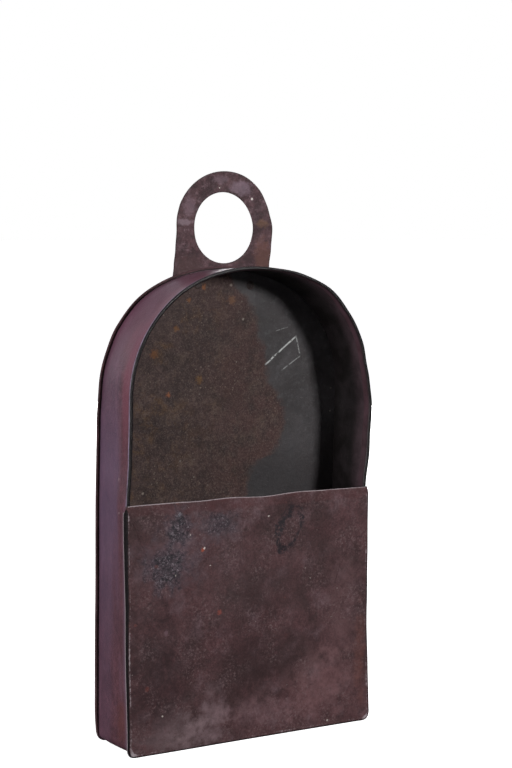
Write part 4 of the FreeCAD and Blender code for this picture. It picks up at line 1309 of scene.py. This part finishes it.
# %% Hanging tab
HOLE = 26
TAB_THICK = tab_high[1] - tab_low[1]
TAB_HALF = tab_high[0]
HOLE_HIGH = tab_high[2] - TAB_HALF
tab_steps = 200
turns = np.radians(np.arange(tab_steps) * 360 / tab_steps - 90)
rays = np.column_stack([np.cos(turns), np.sin(turns)])
side_reach = TAB_HALF / np.maximum(np.abs(rays[:, 0]), 1e-6)
foot_reach = np.where(rays[:, 1] < 0, (HOLE_HIGH - tab_low[2]) / np.maximum(-rays[:, 1], 1e-6), 1e6)
tab_reach = np.where(rays[:, 1] >= 0, TAB_HALF, np.minimum(side_reach, foot_reach))
hole_wobble = 1 + 0.006 * np.sin(3 * turns + 0.5) - 0.075 * np.clip(np.cos(turns - 0.35), 0, 1) ** 2
hole = np.column_stack([np.zeros(tab_steps),
                        np.full(tab_steps, HOLE_HIGH)]) + rays * (HOLE * hole_wobble)[:, None]
edge = np.column_stack([np.zeros(tab_steps), np.full(tab_steps, HOLE_HIGH)]) + rays * tab_reach[:, None]
tab_middle = (tab_low[1] + tab_high[1]) / 2
flat_edge = np.tile([[0.0, tab_middle]], (tab_steps, 1, 1))
tab = new_piece("hanger_tab_skin", *folded_sheet(np.hstack([edge, rays]), flat_edge, hole, 16, 1.0),
                tab_paint)
thicken(tab, TAB_THICK)
cut_edge = tab.modifiers.new("filed edge", "BEVEL")
cut_edge.width, cut_edge.segments = 0.18 * MM, 2
cut_edge.limit_method, cut_edge.angle_limit = "ANGLE", math.radians(60)
settle(tab)

spots = points_of(tab)
from_hole = np.hypot(spots[:, 0], spots[:, 2] - HOLE_HIGH)
from_edge = np.where(spots[:, 2] > HOLE_HIGH, TAB_HALF - from_hole, TAB_HALF - np.abs(spots[:, 0]))
mark(tab, "wear_and_highlight", near(from_edge - 1, 0.9) * 0.5 + near(from_hole - HOLE - 0.8, 0.8) * 0.5)
mark(tab, "grime_and_shade", (near(from_edge, 0.6) + near(from_hole - HOLE, 0.5)) * 0.7)
high = spots[:, 2]
right_edge = eased(high, [318, 345, 358, 372, 384, 392, 402, 414], [-3.0, -2.2, -0.8, 0, -1.5, -1.4, -0.6, 0])
left_edge = eased(high, [318, 333, 345, 358, 371, 384, 392, 402], [-2.4, -2.0, -0.8, 0.4, 1.3, 0.8, 0.2, 0])
near_edge = np.clip(1.6 - from_edge / 12, 0, 1)
spots[:, 0] += np.where(spots[:, 0] > 0, right_edge, left_edge) * near_edge
spots[:, 1] += 0.25 * ripple(spots, 30, 41) * np.clip((high - ARCH_TOP - 4) / 20, 0, 1)
reshape(tab, spots)
smooth(tab, 45)
place_piece(tab, "lantern", "painted_sheet", "hanger_tab")

# %% [markdown]
# ## Rivets
# A rivet's head is a low dome hammered over the shank. All of them are the same dome put on many spots, so
# Geometry Nodes place it: each spot says which way its head looks and how proud it stands, and noise, which
# is the same on every run, gives every head its own hammer marks.

# %% Geometry nodes: hammered heads on spots
rivet_tree, given, made = new_group(
    "hammered rivets",
    {"Spots": ("Geometry", None), "Head Radius": ("Float", 0.0032), "Head Rise": ("Float", 0.0011),
     "Hammering": ("Float", 0.00018), "Finish": ("Material", None)},
    {"Rivets": ("Geometry", None)}, "GeometryNodeTree",
)
ball = put(rivet_tree, "GeometryNodeMeshUVSphere", {"Segments": 28, "Rings": 20, "Radius": 1.0}).outputs[0]
spot_place = put(rivet_tree, "GeometryNodeInputPosition").outputs[0]
under = axis_of(rivet_tree, spot_place, "Z")
flattened = calc(rivet_tree, "MAXIMUM", under, -0.25)
sides = put(rivet_tree, "ShaderNodeSeparateXYZ", {0: spot_place})
dome_place = put(rivet_tree, "ShaderNodeCombineXYZ",
                 {0: sides.outputs["X"], 1: sides.outputs["Y"], 2: flattened}).outputs[0]
dome = put(rivet_tree, "GeometryNodeSetPosition", {"Geometry": ball, "Position": dome_place}).outputs[0]
looks = put(rivet_tree, "GeometryNodeInputNamedAttribute", {"Name": "facing"},
            data_type="FLOAT_VECTOR").outputs[0]
proud = put(rivet_tree, "GeometryNodeInputNamedAttribute", {"Name": "proud"}, data_type="FLOAT").outputs[0]
turn = put(rivet_tree, "FunctionNodeAlignRotationToVector", {"Vector": looks}, axis="Z").outputs[0]
rise = times(rivet_tree, proud, given.outputs["Head Rise"])
spread = given.outputs["Head Radius"]
size = put(rivet_tree, "ShaderNodeCombineXYZ", {0: spread, 1: spread, 2: rise}).outputs[0]
spots_only = put(rivet_tree, "GeometryNodeMeshToPoints", {"Mesh": given.outputs["Spots"]}).outputs[0]
heads = put(rivet_tree, "GeometryNodeInstanceOnPoints", {"Points": spots_only, "Instance": dome,
                                                         "Rotation": turn, "Scale": size})
real = put(rivet_tree, "GeometryNodeRealizeInstances", {"Geometry": heads.outputs[0]}).outputs[0]
blows = put(rivet_tree, "ShaderNodeTexNoise", {"Scale": 420.0, "Detail": 1.0}).outputs["Color"]
centred = put(rivet_tree, "ShaderNodeVectorMath", {0: blows, 1: (0.5, 0.5, 0.5)},
              operation="SUBTRACT").outputs[0]
struck = put(rivet_tree, "ShaderNodeVectorMath", {0: centred, 3: given.outputs["Hammering"]},
             operation="SCALE").outputs[0]
hammered = put(rivet_tree, "GeometryNodeSetPosition", {"Geometry": real, "Offset": struck}).outputs[0]
finished = put(rivet_tree, "GeometryNodeSetMaterial",
               {"Geometry": hammered, "Material": given.outputs["Finish"]})
rivet_tree.links.new(finished.outputs[0], made.inputs["Rivets"])
print("tree:", rivet_tree.name, len(rivet_tree.nodes), "nodes")


# %% Rivets
def rivets(name, spots, facings, prouds, bent=False):
    """A piece made of rivet heads on spots, in millimetres."""
    spots = np.array(spots, float)
    piece = new_piece(name, hand_bent(spots) if bent else spots, [], rivet_paint)
    for label, kind, field, values in (("facing", "FLOAT_VECTOR", "vector", np.ravel(facings).tolist()),
                                       ("proud", "FLOAT", "value", prouds)):
        layer = piece.data.attributes.new(label, kind, "POINT")
        layer.data.foreach_set(field, values)
    nodes = piece.modifiers.new("heads", "NODES")
    nodes.node_group = rivet_tree
    fill_inputs(nodes, rivet_tree, Finish=rivet_paint)
    settle(piece)
    smooth(piece, 60)
    return piece


hang_low, hang_high = box_mm("hanger_rivets")
hang_side = hang_high[0] - 3.2
hang_level = (hang_low[2] + hang_high[2]) / 2
head_depths = (REAR - SHEET, REAR + TAB_THICK - 0.1)
spots = [(side * hang_side, deep, hang_level) for side in (-1, 1) for deep in head_depths]
hanging = rivets("hanger_rivet_heads", spots, [(0, -1, 0), (0, 1, 0)] * 2, [0.6, 0.12] * 2, bent=True)
place_piece(hanging, "lantern", "rivets", "hanger_rivets")

lap_low, lap_high = box_mm("lap_rivets")
lap_across = (lap_low[0] + lap_high[0]) / 2
lap_depths = (lap_low[1] + 3.2, lap_high[1] - 3.2)
spots = [(lap_across, deep, level) for deep in lap_depths for level in (FLOOR + SHEET, SEAM_OUT)]
lapped = rivets("lap_rivet_heads", spots, [(0, 0, 1), (0, 0, -1)] * 2, [1.0, 1.0] * 2, bent=True)
place_piece(lapped, "lantern", "rivets", "lap_rivets")

hold_low, hold_high = box_mm("socket_rivet")
centre_deep = (hold_low[1] + hold_high[1]) / 2
spots = [(0, centre_deep, hold_high[2] - 1.1), (0, centre_deep, hold_low[2] + 1.1)]
holding = rivets("socket_rivet_heads", spots, [(0, 0, 1), (0, 0, -1)], [1.0, 1.0])
place_piece(holding, "lantern", "rivets", "socket_rivet")

# %% [markdown]
# ## Drip pan
# A shallow turned tin dish with its rim rolled over a wire. It is a section spun about the socket's axis,
# written out here as rings of points, because then the rim can be made slightly out of true.

# %% Helper: a turned piece
def spun(section, steps, axis_deep, closed=True):
    """Points and faces of a section of (radius, height) spun about the upright axis."""
    section = np.array(section, float)
    turns = np.arange(steps) * 2 * math.pi / steps
    rings = [
        np.column_stack([radius * np.cos(turns), radius * np.sin(turns) + axis_deep, np.full(steps, high)])
        for radius, high in section
    ]
    faces = []
    loops = len(section)
    for loop in range(loops if closed else loops - 1):
        first, second = loop * steps, (loop + 1) % loops * steps
        for place in range(steps):
            after = (place + 1) % steps
            faces.append((first + place, first + after, second + after, second + place))
    return np.vstack(rings), faces


pan_low, pan_high = box_mm("drip_pan")
TIN = 0.6                 # thickness of the tinplate
RIVET_HOLE = 1.8          # radius of the hole round the socket's rivet
pan_rim, pan_foot = pan_high[0], 14.0
bead = 0.75               # radius of the rolled rim
wall_corners = [(RIVET_HOLE, pan_low[2]), (pan_foot, pan_low[2]), (pan_rim - bead, pan_high[2] - bead)]
wall = bent_line(wall_corners, [2.0], [14, 8], 8)
inner_wall = wall + np.array([0, TIN])
inner_wall[-8:, 0] -= 0.35
roll = np.radians(np.arange(-60, 215, 25))
rolled_rim = np.column_stack([pan_rim - bead + bead * np.cos(roll), pan_high[2] - bead + bead * np.sin(roll)])
pan_section = np.vstack([wall, rolled_rim, inner_wall[::-1]])
pan = new_piece("drip_pan_skin", *spun(pan_section, 96, centre_deep), tinplate)
weld(pan.data)
spots = points_of(pan)
rim_share = np.clip((spots[:, 2] - pan_low[2] - 2) / 5, 0, 1)
spots[:, 2] -= rim_share * 0.35 * (1 + ripple(spots, 22, 51))
reshape(pan, spots)
smooth(pan, 50)
place_piece(pan, "lantern", "tinplate", "drip_pan")

# %% [markdown]
# ## Candle socket
# The socket is a strip of tin rolled up, so its ends lap in an upright seam. A plain tube would miss that.
# The strip's radius grows by one thickness along the lap, its upper edge is flared a little, and Solidify
# gives the thickness. A floor disc closes it below.

# %% Candle socket
cup_low, cup_high = box_mm("candle_socket")
cup_middle = cup_high[0] - TIN / 2
LAP_START, LAP_TURN, LAP_RISE = -2.3, 0.45, 0.25      # where the strip starts, laps and climbs, in radians
turn_steps, rise_steps = 110, 18
points = []
for high_step in range(rise_steps + 1):
    share = high_step / rise_steps
    level = cup_low[2] + TIN / 2 + share * (cup_high[2] - cup_low[2] - TIN / 2)
    flare = 0.45 * max(0.0, share - 0.88) / 0.12
    for turn_step in range(turn_steps + 1):
        walked = turn_step / turn_steps * (2 * math.pi + LAP_TURN)
        turn = LAP_START + walked
        lapped_share = min(1.0, max(0.0, (walked - 2 * math.pi + LAP_RISE) / LAP_RISE))
        radius = cup_middle + flare + lapped_share * (TIN + 0.08)
        points.append((radius * math.cos(turn), radius * math.sin(turn) + centre_deep, level))
row = turn_steps + 1
faces = [(h * row + t, h * row + t + 1, (h + 1) * row + t + 1, (h + 1) * row + t)
         for h in range(rise_steps) for t in range(turn_steps)]
cup = new_piece("candle_socket_skin", points, faces, tinplate)
thicken(cup, TIN)
floor_line = [(RIVET_HOLE, cup_low[2]), (cup_middle, cup_low[2]),
              (cup_middle, cup_low[2] + TIN), (RIVET_HOLE, cup_low[2] + TIN)]
disc = new_piece("socket_floor", *spun(floor_line, 64, centre_deep), tinplate)
weld(disc.data)
both = bmesh.new()
both.from_mesh(cup.data)
both.from_mesh(disc.data)
both.to_mesh(cup.data)
both.free()
bpy.data.objects.remove(disc)
smooth(cup, 50)
place_piece(cup, "lantern", "tinplate", "candle_socket")

# %% [markdown]
# ## Candle
# A stub that has burned: a dished top with a soft rim that is lower on one side, and a few runs of wax that
# set on their way down. It starts as a spun section with many rings, and the melting is a set of moves on
# its points, strongest at the top. Near the socket it stays within its round solid, so that it slides.

# %% Candle
wax_low, wax_high = box_mm("candle")
RADIUS = wax_high[0]
side_heights = np.linspace(wax_low[2] + 0.8, wax_high[2] - 2.2, 90)
side = np.column_stack([np.full(90, RADIUS - 0.12), side_heights])
rim = [(RADIUS - 0.2, wax_high[2] - 1.2), (RADIUS - 0.6, wax_high[2] - 0.4),
       (RADIUS - 1.3, wax_high[2] - 0.1),
       (RADIUS - 2.0, wax_high[2] - 0.35), (RADIUS - 2.8, wax_high[2] - 0.9)]
dish = [(r, wax_high[2] - 3 + 2.1 * (r / (RADIUS - 2.8)) ** 2) for r in np.linspace(RADIUS - 3.6, 0, 12)]
foot = [(0, wax_low[2]), (RADIUS * 0.5, wax_low[2]), (RADIUS - 0.7, wax_low[2]),
        (RADIUS - 0.25, wax_low[2] + 0.3)]
stub_section = np.vstack([foot, side, rim, dish])
stub = new_piece("candle_skin", *spun(stub_section, 120, centre_deep, closed=False), wax)
weld(stub.data)
spots = points_of(stub)
off = spots - [0, centre_deep, 0]
turn = np.arctan2(off[:, 1], off[:, 0])
away = off * (1, 1, 0)
away /= np.maximum(np.linalg.norm(away, axis=1, keepdims=True), 1e-6)
outer_share = np.clip((np.hypot(off[:, 0], off[:, 1]) - RADIUS + 4) / 3, 0, 1)
high = spots[:, 2]
# where round the candle each run of wax goes down, its length, its width and how thick it stands
WAX_RUNS = ((-1.9, 62, 1.5, 1.15), (-1.45, 34, 1.2, 0.9), (0.2, 48, 1.6, 1.2), (1.2, 22, 1.3, 0.9),
            (2.6, 70, 1.4, 1.0), (-2.7, 27, 1.7, 1.1))
for angle, length, width, thick in WAX_RUNS:
    gap = (turn - angle + math.pi) % (2 * math.pi) - math.pi
    gap = gap + 0.05 * np.sin(high / 6 + angle)
    foot_of_run = wax_high[2] - length
    along = np.clip((high - foot_of_run) / 4, 0, 1)
    bead_here = 1 + 0.6 * near(high - foot_of_run - 3, 3)
    widened = width * (1 + 0.35 * near(high - foot_of_run - 3, 4))
    run = thick * bead_here * near(gap * RADIUS, widened) * np.sqrt(along)
    spots += away * (run * outer_share * np.clip((high - 30) / 8, 0, 1))[:, None]
slump = np.clip((high - wax_high[2] + 9) / 9, 0, 1)
melted = 0.5 + 0.9 * (1 + np.sin(turn + 0.6)) / 2 + 0.25 * np.sin(turn * 3)
spots[:, 2] -= slump * melted * outer_share
spots += away * (0.14 * ripple(spots, 14, 61) * np.clip((high - 30) / 10, 0, 1))[:, None]
reshape(stub, spots)
smooth(stub, 60)
place_piece(stub, "candle", "wax", "candle")

# %% [markdown]
# ## Wick
# The wick is plaited cotton. Three thin strands wind round one another: in Geometry Nodes a strand is a
# tube along a spiral, put down three times with a third of a turn between, and the burnt end is then
# bent over by moving its points sideways, more and more towards the tip.

# %% Geometry nodes: plaited wick
wick_low, wick_high = box_mm("wick")
wick_tree, given, made = new_group(
    "plaited wick",
    {"Base": ("Geometry", None), "Length": ("Float", 0.1), "Strand Radius": ("Float", 0.0005),
     "Winding Radius": ("Float", 0.0004), "Turns": ("Float", 30.0), "Strands": ("Int", 3),
     "Bend Start": ("Float", 0.1), "Bend": ("Float", 0.002), "Cotton": ("Material", None)},
    {"Wick": ("Geometry", None)}, "GeometryNodeTree",
)
winding = given.outputs["Winding Radius"]
spiral = put(wick_tree, "GeometryNodeCurveSpiral", {"Resolution": 10, "Rotations": given.outputs["Turns"],
             "Start Radius": winding, "End Radius": winding, "Height": given.outputs["Length"]}).outputs[0]
ring = put(wick_tree, "GeometryNodeCurvePrimitiveCircle",
           {"Resolution": 7, "Radius": given.outputs["Strand Radius"]}).outputs[0]
strand = put(wick_tree, "GeometryNodeCurveToMesh", {"Curve": spiral, "Profile Curve": ring,
                                                    "Fill Caps": True}).outputs[0]
starts = put(wick_tree, "GeometryNodePoints", {"Count": given.outputs["Strands"]}).outputs[0]
number = put(wick_tree, "GeometryNodeInputIndex").outputs[0]
share = calc(wick_tree, "DIVIDE", number, given.outputs["Strands"])
angle = times(wick_tree, share, 2 * math.pi)
turned = put(wick_tree, "FunctionNodeEulerToRotation",
             {0: put(wick_tree, "ShaderNodeCombineXYZ", {2: angle}).outputs[0]})
strands = put(wick_tree, "GeometryNodeInstanceOnPoints", {"Points": starts, "Instance": strand,
                                                          "Rotation": turned.outputs[0]})
real = put(wick_tree, "GeometryNodeRealizeInstances", {"Geometry": strands.outputs[0]}).outputs[0]
level = axis_of(wick_tree, put(wick_tree, "GeometryNodeInputPosition").outputs[0], "Z")
past = put(wick_tree, "ShaderNodeMapRange", {0: level, 1: given.outputs["Bend Start"],
                                             2: given.outputs["Length"]}).outputs[0]
curled = calc(wick_tree, "POWER", past, 2.0)
aside = times(wick_tree, curled, given.outputs["Bend"])
lean = put(wick_tree, "ShaderNodeCombineXYZ", {0: aside, 1: times(wick_tree, aside, -0.6)}).outputs[0]
bent = put(wick_tree, "GeometryNodeSetPosition", {"Geometry": real, "Offset": lean}).outputs[0]
finished = put(wick_tree, "GeometryNodeSetMaterial", {"Geometry": bent, "Material": given.outputs["Cotton"]})
wick_tree.links.new(finished.outputs[0], made.inputs["Wick"])

# %% Wick
thread = new_piece("wick_skin", [(0, 0, 0)], [], cotton)
plait = thread.modifiers.new("plait", "NODES")
plait.node_group = wick_tree
tall = (wick_high[2] - wick_low[2]) * MM
fill_inputs(plait, wick_tree, Length=tall, Turns=44.0, Bend_Start=tall - 0.008, Bend=0.0026, Cotton=cotton)
settle(thread)
spots = points_of(thread) + [0, centre_deep, wick_low[2]]
reshape(thread, spots)
smooth(thread, 60)
place_piece(thread, "candle", "wick", "wick")

# %% [markdown]
# ## Floor, backdrop and light
# The lantern stands on a pale floor that runs into a white backdrop, as on a studio sweep. The floor glows a
# little, so that no horizon shows. The white backdrop is what the glossy paint on the left side reflects,
# while the room in front is dimmer, which keeps the panel dark. A soft key lamp stands in front on the
# right, a second lights the left side, and two weak ones reach the back and the top.

# %% Floor
FLOOR_HALF = 12.0
floor_corners = ((-1, -1), (1, -1), (1, 1), (-1, 1))
floor_points = [(x * FLOOR_HALF / MM, y * FLOOR_HALF / MM, 0) for x, y in floor_corners]
pale, tree, surface, where = new_material("pale_floor", Roughness=0.9, Specular_IOR_Level=0.0)
speckle = step(tree, cloud(tree, where, 8.0, 3.0), 0.2, 0.8)
seen = put(tree, "ShaderNodeLightPath").outputs["Is Camera Ray"]
sheet_white = blend(tree, speckle, (0.80, 0.80, 0.80, 1), (0.82, 0.82, 0.82, 1))
tree.links.new(blend(tree, seen, (0.16, 0.16, 0.17, 1), sheet_white), surface.inputs["Base Color"])
surface.inputs["Emission Color"].default_value = (1, 1, 1, 1)
tree.links.new(times(tree, seen, 0.94), surface.inputs["Emission Strength"])
ground = new_piece("studio_floor", floor_points, [(0, 1, 2, 3)], pale)

# %% Backdrop and lamps
world = bpy.data.worlds.new("studio")
bpy.context.scene.world = world
world.use_nodes = True
tree = world.node_tree
tree.nodes.clear()
heading = put(tree, "ShaderNodeTexCoord").outputs["Generated"]
parts = put(tree, "ShaderNodeSeparateXYZ", {0: heading})
low_down = step(tree, parts.outputs["Z"], 0.15, 0.6, 1, 0.12)
backdrop = times(tree, step(tree, parts.outputs["Y"], -0.05, 0.5), low_down)
sky = blend(tree, backdrop, (0.02, 0.02, 0.022, 1), (1.0, 1.0, 1.08, 1))
seen = put(tree, "ShaderNodeLightPath").outputs["Is Camera Ray"]
sky = blend(tree, seen, sky, (1, 1, 1, 1))
glow = put(tree, "ShaderNodeBackground", {"Color": sky, "Strength": 1.0})
tree.links.new(glow.outputs[0], put(tree, "ShaderNodeOutputWorld").inputs["Surface"])


LAMP_TARGET = Vector((0, 0, 0.2))


def lamp(name, place, size, power):
    """A soft square lamp at place, in metres, turned to the middle of the lantern."""
    light = bpy.data.lights.new(name, "AREA")
    light.size, light.energy = size, power
    holder = bpy.data.objects.new(name, light)
    holder.location = place
    holder.rotation_euler = (LAMP_TARGET - Vector(place)).to_track_quat("-Z", "Y").to_euler()
    holder.visible_camera = False
    bpy.context.scene.collection.objects.link(holder)


lamp("key", (0.84, -1.96, 0.80), 0.34, 45)
lamp("side", (-1.75, -0.34, 0.42), 0.6, 24)
lamp("back", (1.0, 1.8, 0.3), 0.8, 24)
lamp("top", (0.1, -0.35, 1.7), 0.5, 5)
